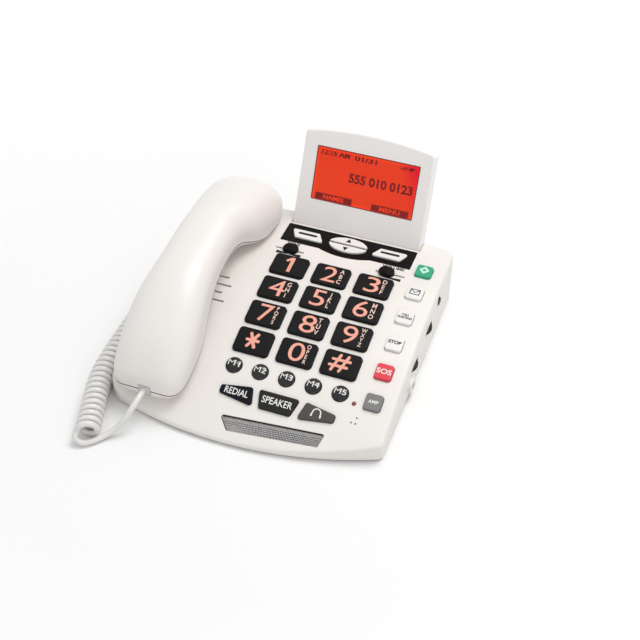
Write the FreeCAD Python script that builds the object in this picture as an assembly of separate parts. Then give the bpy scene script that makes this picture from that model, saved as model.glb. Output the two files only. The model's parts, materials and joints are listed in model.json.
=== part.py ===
import FreeCAD
import Part
import math
import os

# Corded emergency desk phone: a crowned base with a keypad, a lit display that
# tilts on a barrel hinge, a handset in its cradle and a curly handset cord.
# Millimetres. X to the right, Y to the rear, Z up, origin on the desk under the
# middle of the outer box. The drawing has its own zero, near the keypad's middle,
# and every piece is shifted when it is written.

V = FreeCAD.Vector
os.makedirs("parts", exist_ok=True)

# ---------------------------------------------------------------- driving sizes

DRAWING_X, DRAWING_Y = 1.00, 18.53  # middle of the outer box, on the drawing

# base outline, seen from above
BASE_HALF_W = 86.5
BOW_X = -10.0               # where both long edges bow furthest out
FRONT_Y = -82.9
FRONT_R = 240.0
REAR_Y = 94.2
REAR_R = 1000.0
CORNER_FRONT_LEFT = 15.0
CORNER_FRONT_RIGHT = 4.0
CORNER_REAR = 8.0

# crowned deck: a cylinder along X
DECK_R = 311.0
CROWN_Y = 57.9
CROWN_Z = 37.7
DECK_T = 2.4                # thickness of the deck
WALL_T = 2.2                # thickness of the side walls
DECK_EDGE_R = 2.2           # rounding of the deck's rim

# lower shell and feet
RIM_Z = 2.0                 # lower edge of the upper shell
FLOOR_Z = 1.0               # underside of the lower shell
FLOOR_T = 1.8
RIM_INSET = 0.7             # shadow gap under the upper shell
LIP_T = 1.6
LIP_Z = 5.0                 # top of the locating lip
FOOT_R = 7.0
FOOT_T = 1.6
FOOT_SINK = 0.6             # depth of the pocket that holds a foot
FOOT_X = BASE_HALF_W - 16.5
FOOT_FRONT_Y = -52.0
FOOT_REAR_Y = 78.0

# fits
KEY_GAP = 0.3               # between a key and its opening
FIT = 0.15                  # between a fixed inlay and its seat
LOOSE = 0.35                # between parts that move past each other
THROUGH = 60.0              # length of a cutter that passes right through a wall

# the deck's layout keeps its share of the base's width
COLUMN = 0.3237 * BASE_HALF_W      # from one dial column to the next
HANDSET_X = 27.3 - BASE_HALF_W

# keys
KEY_TRAVEL = 1.2            # a dome gives way by this much
FLANGE_W = 0.8              # how far a key's flange reaches under the deck
FLANGE_T = 1.0
FLANGE_DROP = 0.4           # flange's top below the deck's inner face
STEM_R = 1.6
DIAL_W, DIAL_L, DIAL_R = COLUMN - 5.2, 16.9, 2.4
DIAL_PROUD = 1.9
DIAL_EDGE = 0.7
DIAL_X = 0.682 * COLUMN     # middle column
ROW_ARC = -19.9             # first dial row, along the deck from its crown
ROW_PITCH = 20.6
MEMORY_X = 0.675 * COLUMN
MEMORY_PITCH = 0.6036 * COLUMN
MEMORY_R = 5.0
MEMORY_PROUD = 2.3
MEMORY_DOME_R = 9.0
MEMORY_DROP = 17.8          # memory row below the last dial row
LINE_DROP = 16.5            # redial row below the memory row
LINE_X = 0.6643 * COLUMN
LINE_HALF_L = 5.6           # half the depth of the three line keys
LINE_TOP_HALF, LINE_FOOT_HALF = 0.4536 * COLUMN, 0.35 * COLUMN
LINE_SPACE = 4.4            # between neighbouring line keys
LINE_REACH = 1.286 * COLUMN # outer end of the tapered keys from the middle
LINE_TIP_HALF = 2.4
LINE_PROUD = 1.7
LINE_EDGE_R = 1.5
SIDE_X = BASE_HALF_W - 13.2
SIDE_W = 10.4
SIDE_R = 1.7
SIDE_RISE = 2.5             # side column above the dial rows
SIDE_PROUD = 1.9
SIDE_STEM_OFF = -2.9        # stems stand inboard, clear of the thumbwheels

# soft-key panel
PANEL_X = 0.709 * COLUMN
PANEL_HALF_W = 1.5714 * COLUMN
PANEL_REAR_ARC = 21.1
PANEL_FRONT_ARC = 2.8
PANEL_T = 1.2
PANEL_R = 0.8
BULGE_HALF_W = 0.6143 * COLUMN
BULGE_DROP = 3.3
SOFT_REAR_ARC, SOFT_FRONT_ARC = 15.6, 7.7
SOFT_REAR_IN, SOFT_REAR_OUT = PANEL_HALF_W - 23.1, PANEL_HALF_W - 4.5
SOFT_FRONT_IN, SOFT_FRONT_OUT = PANEL_HALF_W - 27.6, PANEL_HALF_W - 8.3
SOFT_R = 1.2
SOFT_PROUD = 1.0
SCROLL_ARC = 11.2
SCROLL_HALF_W = 0.468 * COLUMN
SCROLL_HALF_L = 7.2
SCROLL_SPLIT = 1.1

# sliders on the deck
SLIDER_ARC = -5.1
TONE_SLOT_X = -0.507 * COLUMN
TONE_KNOB_X = TONE_SLOT_X + 0.4
VOLUME_SLOT_X = 1.907 * COLUMN
VOLUME_KNOB_X = VOLUME_SLOT_X - 2.4
SLOT_L, SLOT_W = 19.4, 1.4
KNOB_HALF_W, KNOB_HALF_L, KNOB_H = 5.2, 3.4, 3.0
KNOB_CROWN_R = 9.5
BLADE_L, BLADE_W = 3.0, 0.8
GROOVE_W = 3.6              # a pot's groove, wide enough for the leaning blade
BLADE_REACH = 2.2           # how far a blade dips into its potentiometer
POT_W, POT_L, POT_H = 21.4, 6.4, 5.0

# speaker grille, seen from above
GRILLE_REAR_LEFT = (-0.443 * COLUMN, -69.2)
GRILLE_REAR_RIGHT = (1.871 * COLUMN, -64.6)
GRILLE_FRONT_RIGHT = (1.793 * COLUMN, -72.7)
GRILLE_FRONT_LEFT = (-0.186 * COLUMN, -77.3)
GRILLE_R = 1.4
GRILLE_SINK = 0.9
GRILLE_T = 0.8
GRILLE_HOLE = 1.3
GRILLE_PITCH = 2.3
GRILLE_RIM = 1.2
SPEAKER_W, SPEAKER_L, SPEAKER_T = 46.0, 11.0, 2.8
SPEAKER_ARC = -130.0

# small openings in the deck
LED_X, LED_ARC, LED_R = 2.2286 * COLUMN, -103.2, 1.2
MIC_HOLES = [(LED_X + 4.4, -111.3), (LED_X + 2.0, -114.8), (LED_X + 4.6, -114.9)]
MIC_HOLE_R = 0.6
VENT_COUNT = 4
VENT_PITCH = 6.2
VENT_ARC = -40.6
VENT_LEFT, VENT_RIGHT = HANDSET_X - 4.8, HANDSET_X + 17.7
VENT_STEP = 3.6             # every second vent reaches this much further right
VENT_W = 1.4

# circuit board and key mat
BOARD_LEFT, BOARD_RIGHT = -0.893 * COLUMN, BASE_HALF_W - 12.9
BOARD_FRONT, BOARD_REAR = -55.5, 75.5
BOARD_T = 1.6
BOARD_DATUM_Y = -62.0       # where the board's top would be BOARD_DATUM_Z high
BOARD_DATUM_Z = 7.3
BOARD_TILT = 9.5
MAT_T = 0.8
DOME_H = KEY_TRAVEL + 0.3
DOME_R = 2.6
DOME_GAP = 0.25
POST_R = 3.0
POST_SPOTS = [(BOARD_LEFT + 5.0, -30.0), (BOARD_RIGHT - 26.2, -30.0),
              (BOARD_LEFT + 5.0, 60.0), (BOARD_RIGHT - 14.2, 62.0)]

# thumbwheels, side switch and sockets in the right-hand wall
WHEEL_R = 7.0
WHEEL_T = 3.0
WHEEL_PROUD = 1.8
WHEEL_RIBS = 24
WHEEL_RIB_R = 0.45
WHEEL_SLOT_L = 14.0
WHEEL_BORE_R = 1.5
WHEEL_1 = (30.5, 21.3)
WHEEL_2 = (0.5, 18.2)
WHEEL_POT_W, WHEEL_POT_H = 5.0, 4.0
SWITCH_Y, SWITCH_Z = 52.0, 25.6
SWITCH_SLOT_L, SWITCH_SLOT_H = 4.4, 8.4
SWITCH_KNOB_H = 3.0
SWITCH_TRAVEL = 1.5
SWITCH_PROUD = 0.8
JACK_Y, JACK_Z = -7.5, 9.0
JACK_R = 1.3
JACK_SLEEVE_R = 2.4
JACK_COLLAR_R = 5.0
JACK_COLLAR_H = 2.0
JACK_L = 12.0

# sockets in the rear and left walls
LINE_JACK_X, POWER_JACK_X = HANDSET_X + 19.2, HANDSET_X - 4.8
SOCKET_Z = 11.0
SOCKET_W, SOCKET_H, SOCKET_D = 9.6, 7.2, 12.0
SOCKET_SHELL = 1.4
POWER_R, POWER_PIN_R, POWER_D = 3.0, 1.0, 10.0
CORD_JACK_Y, CORD_JACK_Z = 70.0, 8.4
PLUG_W, PLUG_H, PLUG_L = 7.6, 6.2, 11.0
PLUG_FIT = 0.2

# display
DISPLAY_X = 0.732 * COLUMN
DISPLAY_HALF_W = 1.575 * COLUMN
DISPLAY_TOP_HALF_W = DISPLAY_HALF_W - 0.9
DISPLAY_T = 12.0
DISPLAY_H = 66.4            # from the deck to the top of the arch
DISPLAY_SHOULDER = 62.4     # height at which the arch starts
DISPLAY_SINK = 5.2          # how far the face runs below the deck line
DISPLAY_TILT = 65.5         # face against the desk, at rest
DISPLAY_FORWARD = 10.0      # how far it tips towards the user from rest
DISPLAY_FACE_Y, DISPLAY_FACE_Z = 82.0, 37.0
DISPLAY_CORNER_R = 3.4
DISPLAY_EDGE_R = 1.5
DISPLAY_WALL = 2.0
FRAME_T = 3.6               # depth of the front frame
LENS_X = DISPLAY_X + 0.5
LENS_W, LENS_L, LENS_T = 1.5646 * DISPLAY_HALF_W, 35.8, 1.0
LENS_MID = 35.6             # middle of the window above the deck line
LENS_R = 0.8
LENS_SINK = 0.3
LENS_SEAT = 1.4             # ledge under the lens
LCD_MARGIN = 3.0
LCD_T = 4.2
HINGE_PIN_R = 1.9
HINGE_PIN_L = 4.0
HINGE_GAP = 0.08
HINGE_WALL = 2.0
CHEEK_T = 4.6

# handset: stations along Y, and at each the half width, the height of its
# widest line, its back and its underside, and how far its middle sways to the right
HANDSET_STATIONS = [
    (-73.5, 14.4, 20.5, 27.0, 14.4, 0.0),
    (-71.0, 20.0, 21.5, 32.0, 13.2, 0.0),
    (-64.5, 23.0, 25.0, 40.5, 13.6, 0.3),
    (-51.0, 24.2, 31.5, 52.0, 18.9, 0.5),
    (-37.0, 24.0, 38.5, 60.0, 24.5, 0.1),
    (-18.0, 21.2, 48.5, 66.5, 37.0, -0.2),
    (6.0, 18.6, 55.5, 70.0, 44.5, -0.2),
    (26.0, 18.7, 57.0, 71.6, 46.0, -0.1),
    (37.0, 20.0, 53.0, 72.0, 44.0, 0.5),
    (45.0, 22.9, 47.5, 71.8, 41.0, 1.6),
    (54.0, 25.3, 44.5, 71.0, 38.8, 2.9),
    (66.0, 26.2, 43.0, 69.0, 38.3, 3.5),
    (79.0, 25.3, 43.0, 64.9, 38.3, 3.8),
    (88.0, 22.0, 44.0, 59.7, 38.6, 3.9),
    (93.5, 15.2, 45.5, 54.7, 40.0, 3.8),
]
HANDSET_BACK_POWER = 2.3    # roundness of the back
HANDSET_FACE_POWER = 3.6    # squareness of the underside
HANDSET_WALL = 2.2
SEAM_SHARE = 0.35           # seam's place between widest line and underside
EAR_FOOT = (69.0, 15.5, 18.5)      # middle, half length, half width
MOUTH_FOOT = (-48.0, 14.0, 17.5)
FOOT_CORNER = 11.0
SEAT_DEPTH = 4.0            # how far the handset's feet reach below the deck
SEAT_GAP = 0.35
SEAT_WALL = 2.0
EAR_HOLES, EAR_HOLE_R, EAR_RING_R = 8, 1.0, 7.0
RECEIVER_R, RECEIVER_T = 12.8, 6.0
CAPSULE_R, CAPSULE_T = 4.8, 5.0
PLUG_X = HANDSET_X + 0.3
PLUG_Z = 18.5
PLUG_OUT = 0.6              # how far a plug stands out of its socket

# hook plunger, in the ear seat
PLUNGER_X, PLUNGER_Y = HANDSET_X, 60.0
PLUNGER_R = 3.0
PLUNGER_TRAVEL = 3.0
PLUNGER_FLANGE_R = 4.6
PLUNGER_FLANGE_T = 1.2
PLUNGER_GAP = 0.3
PLUNGER_L = 12.0
HOOK_SWITCH_W, HOOK_SWITCH_H = 10.0, 6.0

# curly cord: X is measured from the left wall, Y and Z as elsewhere
CORD_R = 1.9
COIL_R = 7.4
TAIL_FRONT = [
    (27.6, -74.1, 18.5),
    (27.6, -82.6, 18.5),
    (26.2, -88.8, 15.6),
    (23.5, -92.9, 10.6),
    (19.7, -96.7, 5.6),
    (14.7, -101.2, 2.6),
    (10.5, -106.6, 2.0),
    (6.7, -110.4, 2.0),
]
COIL_PATH = [
    (6.7, -110.4, 7.5),
    (0.3, -89.5, 7.5),
    (-7.3, -66.0, 7.5),
    (-9.5, -44.0, 7.5),
    (-10.3, -14.0, 7.5),
    (-9.5, 18.0, 7.5),
    (-10.1, 40.0, 7.5),
]
TAIL_REAR = [
    (-11.6, 34.0, 2.4),
    (-13.2, 42.9, 2.0),
    (-18.1, 50.0, 2.4),
    (-19.1, 58.5, 4.2),
    (-15.7, 65.8, 6.4),
    (-8.9, 70.0, 8.4),
    (-0.6, 70.0, 8.4),
]

# ---------------------------------------------------------------- small helpers


def write(name, shape):
    """Write one named piece, moved from the drawing's zero to the part's."""
    placed = shape.copy()
    placed.translate(V(-DRAWING_X, -DRAWING_Y, 0))
    placed.exportStep("parts/%s.step" % name)


def fuse(shapes):
    """One solid from overlapping solids."""
    body = shapes[0]
    if len(shapes) > 1:
        body = shapes[0].multiFuse(shapes[1:])
    return body.removeSplitter()


def block(x0, x1, y0, y1, z0, z1):
    return Part.makeBox(x1 - x0, y1 - y0, z1 - z0, V(x0, y0, z0))


def prism(points, depth):
    """A polygon of (x, y) corners, raised along Z from z=0."""
    corners = [V(x, y, 0) for x, y in points]
    return Part.Face(Part.makePolygon(corners + corners[:1])).extrude(V(0, 0, depth))


def upright_edges(solid):
    """The straight edges that run along the local Z."""
    found = []
    for edge in solid.Edges:
        if len(edge.Vertexes) == 2:
            run = edge.Vertexes[1].Point - edge.Vertexes[0].Point
            if abs(run.x) < 1e-6 and abs(run.y) < 1e-6 and abs(run.z) > 1e-6:
                found.append(edge)
    return found


def top_edges(solid, z):
    """The edges that lie in the plane at height z."""
    return [e for e in solid.Edges
            if abs(e.BoundBox.ZMin - z) < 1e-5 and abs(e.BoundBox.ZMax - z) < 1e-5]


def rounded(points, depth, radius):
    """A polygon prism with its upright edges rounded."""
    solid = prism(points, depth)
    return solid.makeFillet(radius, upright_edges(solid))


def rectangle(half_w, half_l):
    return [(-half_w, -half_l), (half_w, -half_l), (half_w, half_l), (-half_w, half_l)]


def grown(points, gap):
    """A convex counter-clockwise polygon pushed outwards by gap."""
    count = len(points)
    moved = []
    for i in range(count):
        x0, y0 = points[i - 1]
        x1, y1 = points[i]
        x2, y2 = points[(i + 1) % count]
        a = V(x1 - x0, y1 - y0, 0).normalize()
        b = V(x2 - x1, y2 - y1, 0).normalize()
        out_a = V(a.y, -a.x, 0)
        out_b = V(b.y, -b.x, 0)
        bisector = out_a + out_b
        reach = gap * 2.0 / bisector.dot(bisector)
        moved.append((x1 + bisector.x * reach, y1 + bisector.y * reach))
    return moved


def area_sign(points):
    total = 0.0
    for i, (x, y) in enumerate(points):
        nx, ny = points[(i + 1) % len(points)]
        total += x * ny - nx * y
    return total


def counter_clockwise(points):
    return points if area_sign(points) > 0 else points[::-1]


# ------------------------------------------------------------------ deck shapes


def deck_z(y, drop=0.0):
    """Height of the deck at y, or of the surface drop beneath it."""
    radius = DECK_R - drop
    return CROWN_Z - DECK_R + math.sqrt(radius ** 2 - (y - CROWN_Y) ** 2)


def under_deck(drop=0.0):
    """Everything below the deck, or below the surface drop beneath it."""
    centre = V(-200, CROWN_Y, CROWN_Z - DECK_R)
    return Part.makeCylinder(DECK_R - drop, 400, centre, V(1, 0, 0))


def on_deck(x, arc):
    """The frame of a spot on the deck: X along the base, Z straight out."""
    angle = arc / DECK_R
    spot = V(x, CROWN_Y + DECK_R * math.sin(angle),
             CROWN_Z - DECK_R + DECK_R * math.cos(angle))
    turn = FreeCAD.Rotation(V(1, 0, 0), -math.degrees(angle))
    return FreeCAD.Placement(spot, turn)


def arc_at(y):
    """The place along the deck that lies at y."""
    return DECK_R * math.asin((y - CROWN_Y) / DECK_R)


def seated(shape, x, arc):
    """A shape drawn in a deck frame, carried to its place."""
    placed = shape.copy()
    placed.Placement = on_deck(x, arc).multiply(placed.Placement)
    return placed


def outline_block(inset, z0, z1):
    """The base's plan, moved inwards by inset, between two heights."""
    half = BASE_HALF_W - inset
    body = block(-half, half, FRONT_Y - 5, REAR_Y + 5, z0, z1)
    height = z1 - z0
    front = Part.makeCylinder(FRONT_R - inset, height, V(BOW_X, FRONT_Y + FRONT_R, z0))
    rear = Part.makeCylinder(REAR_R - inset, height, V(BOW_X, REAR_Y - REAR_R, z0))
    body = body.common(front).common(rear)
    radii = {(-1, -1): CORNER_FRONT_LEFT, (1, -1): CORNER_FRONT_RIGHT,
             (-1, 1): CORNER_REAR, (1, 1): CORNER_REAR}
    for (side, end), radius in radii.items():
        edges = [e for e in upright_edges(body)
                 if e.Vertexes[0].Point.x * side > half - 1
                 and (e.Vertexes[0].Point.y - BOW_X) * end > 0]
        body = body.makeFillet(max(radius - inset, 0.6), edges)
    return body


def plan_prism(points, radius=0.0):
    """A plan outline raised through the whole base."""
    solid = prism(counter_clockwise(points), 120)
    if radius:
        solid = solid.makeFillet(radius, upright_edges(solid))
    return solid


# --------------------------------------------------------------- circuit board


def board_frame():
    """Origin on the board's top at the datum, Y along its slope."""
    return FreeCAD.Placement(V(0, BOARD_DATUM_Y, BOARD_DATUM_Z),
                             FreeCAD.Rotation(V(1, 0, 0), BOARD_TILT))


def board_slab(z0, z1, margin=0.0):
    """A slab parallel to the board, z0 to z1 above its top face."""
    slope = math.cos(math.radians(BOARD_TILT))
    y0 = (BOARD_FRONT + margin - BOARD_DATUM_Y) / slope
    y1 = (BOARD_REAR - margin - BOARD_DATUM_Y) / slope
    slab = block(BOARD_LEFT + margin, BOARD_RIGHT - margin, y0, y1, z0, z1)
    slab.Placement = board_frame()
    return slab


def board_spot(x, arc):
    """Where a key's axis meets the board's top, in board coordinates."""
    frame = on_deck(x, arc)
    top = board_frame().inverse().multVec(frame.Base)
    down = board_frame().inverse().Rotation.multVec(frame.Rotation.multVec(V(0, 0, -1)))
    return top + down * (top.z / -down.z)


# ------------------------------------------------------------------------ keys

key_spots = []              # (x, arc) of every stem, for the mat's domes
key_openings = []           # cutters for the deck
panel_openings = []         # cutters for the soft-key panel


def stem_depth(x, arc):
    """How far below the deck a stem ends, just above its dome."""
    spot = board_spot(x, arc)
    above = on_deck(x, arc).Base
    start = board_frame().inverse().multVec(above)
    length = (start - spot).Length
    slope = length / start.z
    tilt_gap = STEM_R * math.sqrt(max(slope ** 2 - 1, 0.0))
    return length - (MAT_T + DOME_H + DOME_GAP) * slope - tilt_gap


def make_key(outline, corner, proud, x, arc, edge=0.0, stem_off=0.0, openings=key_openings):
    """A cap, its flange under the deck and the stem that works its dome."""
    low = -(DECK_T + FLANGE_DROP)
    outline = counter_clockwise(outline)
    cap = rounded(outline, proud - low, corner)
    if edge:
        cap = cap.makeFillet(edge, top_edges(cap, proud - low))
    cap.translate(V(0, 0, low))
    flange = rounded(grown(outline, FLANGE_W), FLANGE_T, corner + FLANGE_W)
    flange.translate(V(0, 0, low - FLANGE_T))
    depth = stem_depth(x + stem_off, arc)
    stem = Part.makeCylinder(STEM_R, depth + low - FLANGE_T + 0.5,
                             V(stem_off, 0, -depth))
    hole = rounded(grown(outline, KEY_GAP), THROUGH, corner + KEY_GAP)
    hole.translate(V(0, 0, -THROUGH / 2))
    openings.append(seated(hole, x, arc))
    key_spots.append((x + stem_off, arc))
    return seated(fuse([cap, flange, stem]), x, arc)


def make_round_key(x, arc):
    """A memory key: a round cap with a domed top."""
    low = -(DECK_T + FLANGE_DROP)
    cap = Part.makeCylinder(MEMORY_R, MEMORY_PROUD - low, V(0, 0, low))
    dome = Part.makeSphere(MEMORY_DOME_R, V(0, 0, MEMORY_PROUD - MEMORY_DOME_R))
    cap = cap.common(fuse([dome, Part.makeCylinder(MEMORY_R + 1, 8, V(0, 0, low - 8 + 1))]))
    flange = Part.makeCylinder(MEMORY_R + FLANGE_W, FLANGE_T, V(0, 0, low - FLANGE_T))
    depth = stem_depth(x, arc)
    stem = Part.makeCylinder(STEM_R, depth + low - FLANGE_T + 0.5, V(0, 0, -depth))
    hole = Part.makeCylinder(MEMORY_R + KEY_GAP, THROUGH, V(0, 0, -THROUGH / 2))
    key_openings.append(seated(hole, x, arc))
    key_spots.append((x, arc))
    return seated(fuse([cap, flange, stem]), x, arc)


def scroll_solid(side, grow, z0, z1):
    """Half of the scroll oval, grown outwards by grow, between two heights."""
    ellipse = Part.Ellipse(V(0, 0, 0), SCROLL_HALF_W + grow, SCROLL_HALF_L + grow)
    disc = Part.Face(Part.Wire([ellipse.toShape()])).extrude(V(0, 0, z1 - z0))
    disc.translate(V(0, 0, z0))
    inner = SCROLL_SPLIT / 2 - grow
    half = block(-40, 40, inner, 40, z0 - 1, z1 + 1)
    if side < 0:
        half = block(-40, 40, -40, -inner, z0 - 1, z1 + 1)
    return disc.common(half)


def make_scroll_key(side):
    low = -(DECK_T + FLANGE_DROP)
    cap = scroll_solid(side, -KEY_GAP, low - FLANGE_T, SOFT_PROUD)
    flange = scroll_solid(side, 0.05, low - FLANGE_T, low)
    off = side * SCROLL_HALF_L / 2
    frame = on_deck(PANEL_X, SCROLL_ARC)
    foot = frame.multVec(V(0, off, 0))
    arc = arc_at(foot.y)
    depth = stem_depth(PANEL_X, arc)
    stem = Part.makeCylinder(STEM_R, depth + low - FLANGE_T + 0.5, V(0, 0, -depth))
    key_spots.append((PANEL_X, arc))
    body = seated(fuse([cap, flange]), PANEL_X, SCROLL_ARC)
    return fuse([body, seated(stem, PANEL_X, arc)])


keys = {}

dial_names = [["key_1", "key_2", "key_3"], ["key_4", "key_5", "key_6"],
              ["key_7", "key_8", "key_9"], ["key_star", "key_0", "key_hash"]]
for row, names in enumerate(dial_names):
    for column, name in enumerate(names):
        keys[name] = make_key(rectangle(DIAL_W / 2, DIAL_L / 2), DIAL_R, DIAL_PROUD,
                              DIAL_X + (column - 1) * COLUMN,
                              ROW_ARC - row * ROW_PITCH, DIAL_EDGE)

memory_arc = ROW_ARC - 3 * ROW_PITCH - MEMORY_DROP
for number in range(5):
    keys["memory_key_%d" % (number + 1)] = make_round_key(
        MEMORY_X + (number - 2) * MEMORY_PITCH, memory_arc)

line_arc = memory_arc - LINE_DROP
speaker_outline = [(-LINE_FOOT_HALF, -LINE_HALF_L), (LINE_FOOT_HALF, -LINE_HALF_L),
                   (LINE_TOP_HALF, LINE_HALF_L), (-LINE_TOP_HALF, LINE_HALF_L)]
taper_in_top = LINE_TOP_HALF + LINE_SPACE
taper_in_foot = LINE_FOOT_HALF + LINE_SPACE
taper_mid = (taper_in_top + LINE_REACH) / 2
right_taper = [(taper_in_foot - taper_mid, -LINE_HALF_L),
               (LINE_REACH - taper_mid, -LINE_TIP_HALF),
               (LINE_REACH - taper_mid, LINE_TIP_HALF),
               (taper_in_top - taper_mid, LINE_HALF_L)]
left_taper = [(-x, y) for x, y in right_taper]
keys["redial_key"] = make_key(left_taper, LINE_EDGE_R, LINE_PROUD,
                              LINE_X - taper_mid, line_arc, 0.5)
keys["speaker_key"] = make_key(speaker_outline, LINE_EDGE_R, LINE_PROUD,
                               LINE_X, line_arc, 0.5)
keys["headset_key"] = make_key(right_taper, LINE_EDGE_R, LINE_PROUD,
                               LINE_X + taper_mid, line_arc, 0.5)

side_names = ["flash_key", "message_key", "call_waiting_key", "stop_key", "sos_key",
              "amplify_key"]
for place, name in enumerate(side_names):
    keys[name] = make_key(rectangle(SIDE_W / 2, SIDE_W / 2), SIDE_R, SIDE_PROUD, SIDE_X,
                          ROW_ARC + ROW_PITCH + SIDE_RISE - place * ROW_PITCH, 0.6,
                          SIDE_STEM_OFF)

soft_arc = (SOFT_REAR_ARC + SOFT_FRONT_ARC) / 2
soft_half = (SOFT_REAR_ARC - SOFT_FRONT_ARC) / 2
soft_mid = (SOFT_REAR_IN + SOFT_REAR_OUT + SOFT_FRONT_IN + SOFT_FRONT_OUT) / 4
soft_right = [(SOFT_FRONT_IN - soft_mid, -soft_half), (SOFT_FRONT_OUT - soft_mid, -soft_half),
              (SOFT_REAR_OUT - soft_mid, soft_half), (SOFT_REAR_IN - soft_mid, soft_half)]
soft_left = [(-x, y) for x, y in soft_right]
for name, outline, side in (("softkey_left", soft_left, -1), ("softkey_right", soft_right, 1)):
    keys[name] = make_key(outline, SOFT_R, SOFT_PROUD, PANEL_X + side * soft_mid, soft_arc,
                          0.3, 0.0, panel_openings)
for name, side in (("scroll_up_key", 1), ("scroll_down_key", -1)):
    keys[name] = make_scroll_key(side)
    panel_openings.append(seated(scroll_solid(side, 0.0, -10, 10), PANEL_X, SCROLL_ARC))

for name, shape in keys.items():
    write(name, shape)

# ------------------------------------------------------------- seats and pocket


def handset_foot(spec, grow, top, depth):
    """The plan of one handset foot, from top above the deck to depth below."""
    middle, half_l, half_w = spec
    plan = prism(rectangle(half_w + grow, half_l + grow), 120)
    plan = plan.makeFillet(FOOT_CORNER + grow, upright_edges(plan))
    plan.translate(V(HANDSET_X, middle, -20))
    return plan.common(under_deck(-top)).cut(under_deck(depth))


def display_frame_at():
    """Origin on the hinge axis, Y up the face, Z out of the face, at rest."""
    tilt = math.radians(DISPLAY_TILT)
    normal = V(0, -math.sin(tilt), math.cos(tilt))
    along = V(0, math.cos(tilt), math.sin(tilt))
    axis = (V(DISPLAY_X, DISPLAY_FACE_Y, DISPLAY_FACE_Z)
            - normal * (DISPLAY_T / 2) - along * DISPLAY_SINK)
    return FreeCAD.Placement(axis, FreeCAD.Rotation(V(1, 0, 0), DISPLAY_TILT))


def display_pocket(gap, half_w):
    """The room that the display's foot sweeps, open to the rear and the top."""
    axis = display_frame_at().Base
    radius = DISPLAY_T / 2 + gap
    lean = math.radians(DISPLAY_TILT + DISPLAY_FORWARD)
    front = V(0, axis.y - radius * math.sin(lean), axis.z + radius * math.cos(lean))
    rise = 30.0
    corner = V(0, front.y + rise * math.cos(lean), front.z + rise * math.sin(lean))
    back = REAR_Y + 10
    points = [V(0, front.y, front.z), corner, V(0, back, corner.z),
              V(0, back, axis.z - radius), V(0, axis.y, axis.z - radius),
              V(0, axis.y, axis.z)]
    face = Part.Face(Part.makePolygon(points + points[:1]))
    sweep = face.extrude(V(2 * half_w, 0, 0))
    barrel = Part.makeCylinder(radius, 2 * half_w, V(0, axis.y, axis.z), V(1, 0, 0))
    room = fuse([sweep, barrel])
    room.translate(V(DISPLAY_X - half_w, 0, 0))
    return room


def hinge_pins(radius, length):
    """The two pins, or with more radius and length their bores."""
    axis = display_frame_at().Base
    pins = []
    for side in (-1, 1):
        start = V(DISPLAY_X + side * (DISPLAY_HALF_W - 1), axis.y, axis.z)
        pins.append(Part.makeCylinder(radius, length + 1, start, V(side, 0, 0)))
    return pins


# ------------------------------------------------------------ panel and grille


def panel_prism(gap):
    """The soft-key panel's outline through the deck, grown by gap."""
    middle = (PANEL_REAR_ARC + PANEL_FRONT_ARC) / 2
    half_w = PANEL_HALF_W + gap
    rear = PANEL_REAR_ARC - middle + gap
    front = PANEL_FRONT_ARC - middle - gap
    bulge = BULGE_HALF_W + gap
    corners = [V(-bulge, front, 0), V(-half_w, front, 0), V(-half_w, rear, 0),
               V(half_w, rear, 0), V(half_w, front, 0), V(bulge, front, 0)]
    edges = [Part.LineSegment(a, b).toShape() for a, b in zip(corners, corners[1:])]
    edges.append(Part.Arc(V(bulge, front, 0), V(0, front - BULGE_DROP, 0),
                          V(-bulge, front, 0)).toShape())
    solid = Part.Face(Part.Wire(edges)).extrude(V(0, 0, 20))
    outer = [e for e in upright_edges(solid) if abs(e.Vertexes[0].Point.x) > half_w - 0.01]
    solid = solid.makeFillet(PANEL_R, outer)
    solid.translate(V(0, 0, -10))
    return seated(solid, PANEL_X, middle)


grille_corners = counter_clockwise([GRILLE_REAR_LEFT, GRILLE_REAR_RIGHT,
                                    GRILLE_FRONT_RIGHT, GRILLE_FRONT_LEFT])


def grille_holes():
    """Square holes in rows between the grille's two long edges."""
    inner = GRILLE_RIM + GRILLE_HOLE
    left = (V(*GRILLE_FRONT_LEFT, 0), V(*GRILLE_REAR_LEFT, 0))
    right = (V(*GRILLE_FRONT_RIGHT, 0), V(*GRILLE_REAR_RIGHT, 0))
    depth = min((left[1] - left[0]).Length, (right[1] - right[0]).Length) - 2 * inner
    rows = int(depth / GRILLE_PITCH) + 1
    holes = []
    for row in range(rows):
        share = (row + 0.5) / rows
        start = left[0] + (left[1] - left[0]) * share
        end = right[0] + (right[1] - right[0]) * share
        span = end - start
        count = int((span.Length - 2 * inner) / GRILLE_PITCH)
        for column in range(count + 1):
            spot = start + span * ((column + 1.0) / (count + 2.0))
            half = GRILLE_HOLE / 2
            holes.append(block(spot.x - half, spot.x + half, spot.y - half,
                               spot.y + half, 0, 30))
    return holes


# ------------------------------------------------------------- upper base shell


def deck_rim(solid):
    """Edges all of whose points lie on the deck."""
    rim = []
    for edge in solid.Edges:
        points = edge.discretize(5)
        offs = [abs(math.hypot(p.y - CROWN_Y, p.z - CROWN_Z + DECK_R) - DECK_R) for p in points]
        if max(offs) < 1e-4:
            rim.append(edge)
    return rim


def slot(x, arc, half_l, half_w):
    """A round-ended slot through the deck, along X."""
    middle = block(-half_l + half_w, half_l - half_w, -half_w, half_w, -10, 10)
    ends = [Part.makeCylinder(half_w, 20, V(side * (half_l - half_w), 0, -10))
            for side in (-1, 1)]
    return seated(fuse([middle] + ends), x, arc)


wheel_x = BASE_HALF_W + WHEEL_PROUD - WHEEL_R
wall_in = BASE_HALF_W - WALL_T


def rear_wall(x):
    """Y of the rear wall's outer face at x."""
    return REAR_Y - REAR_R + math.sqrt(REAR_R ** 2 - (x - BOW_X) ** 2)


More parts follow.
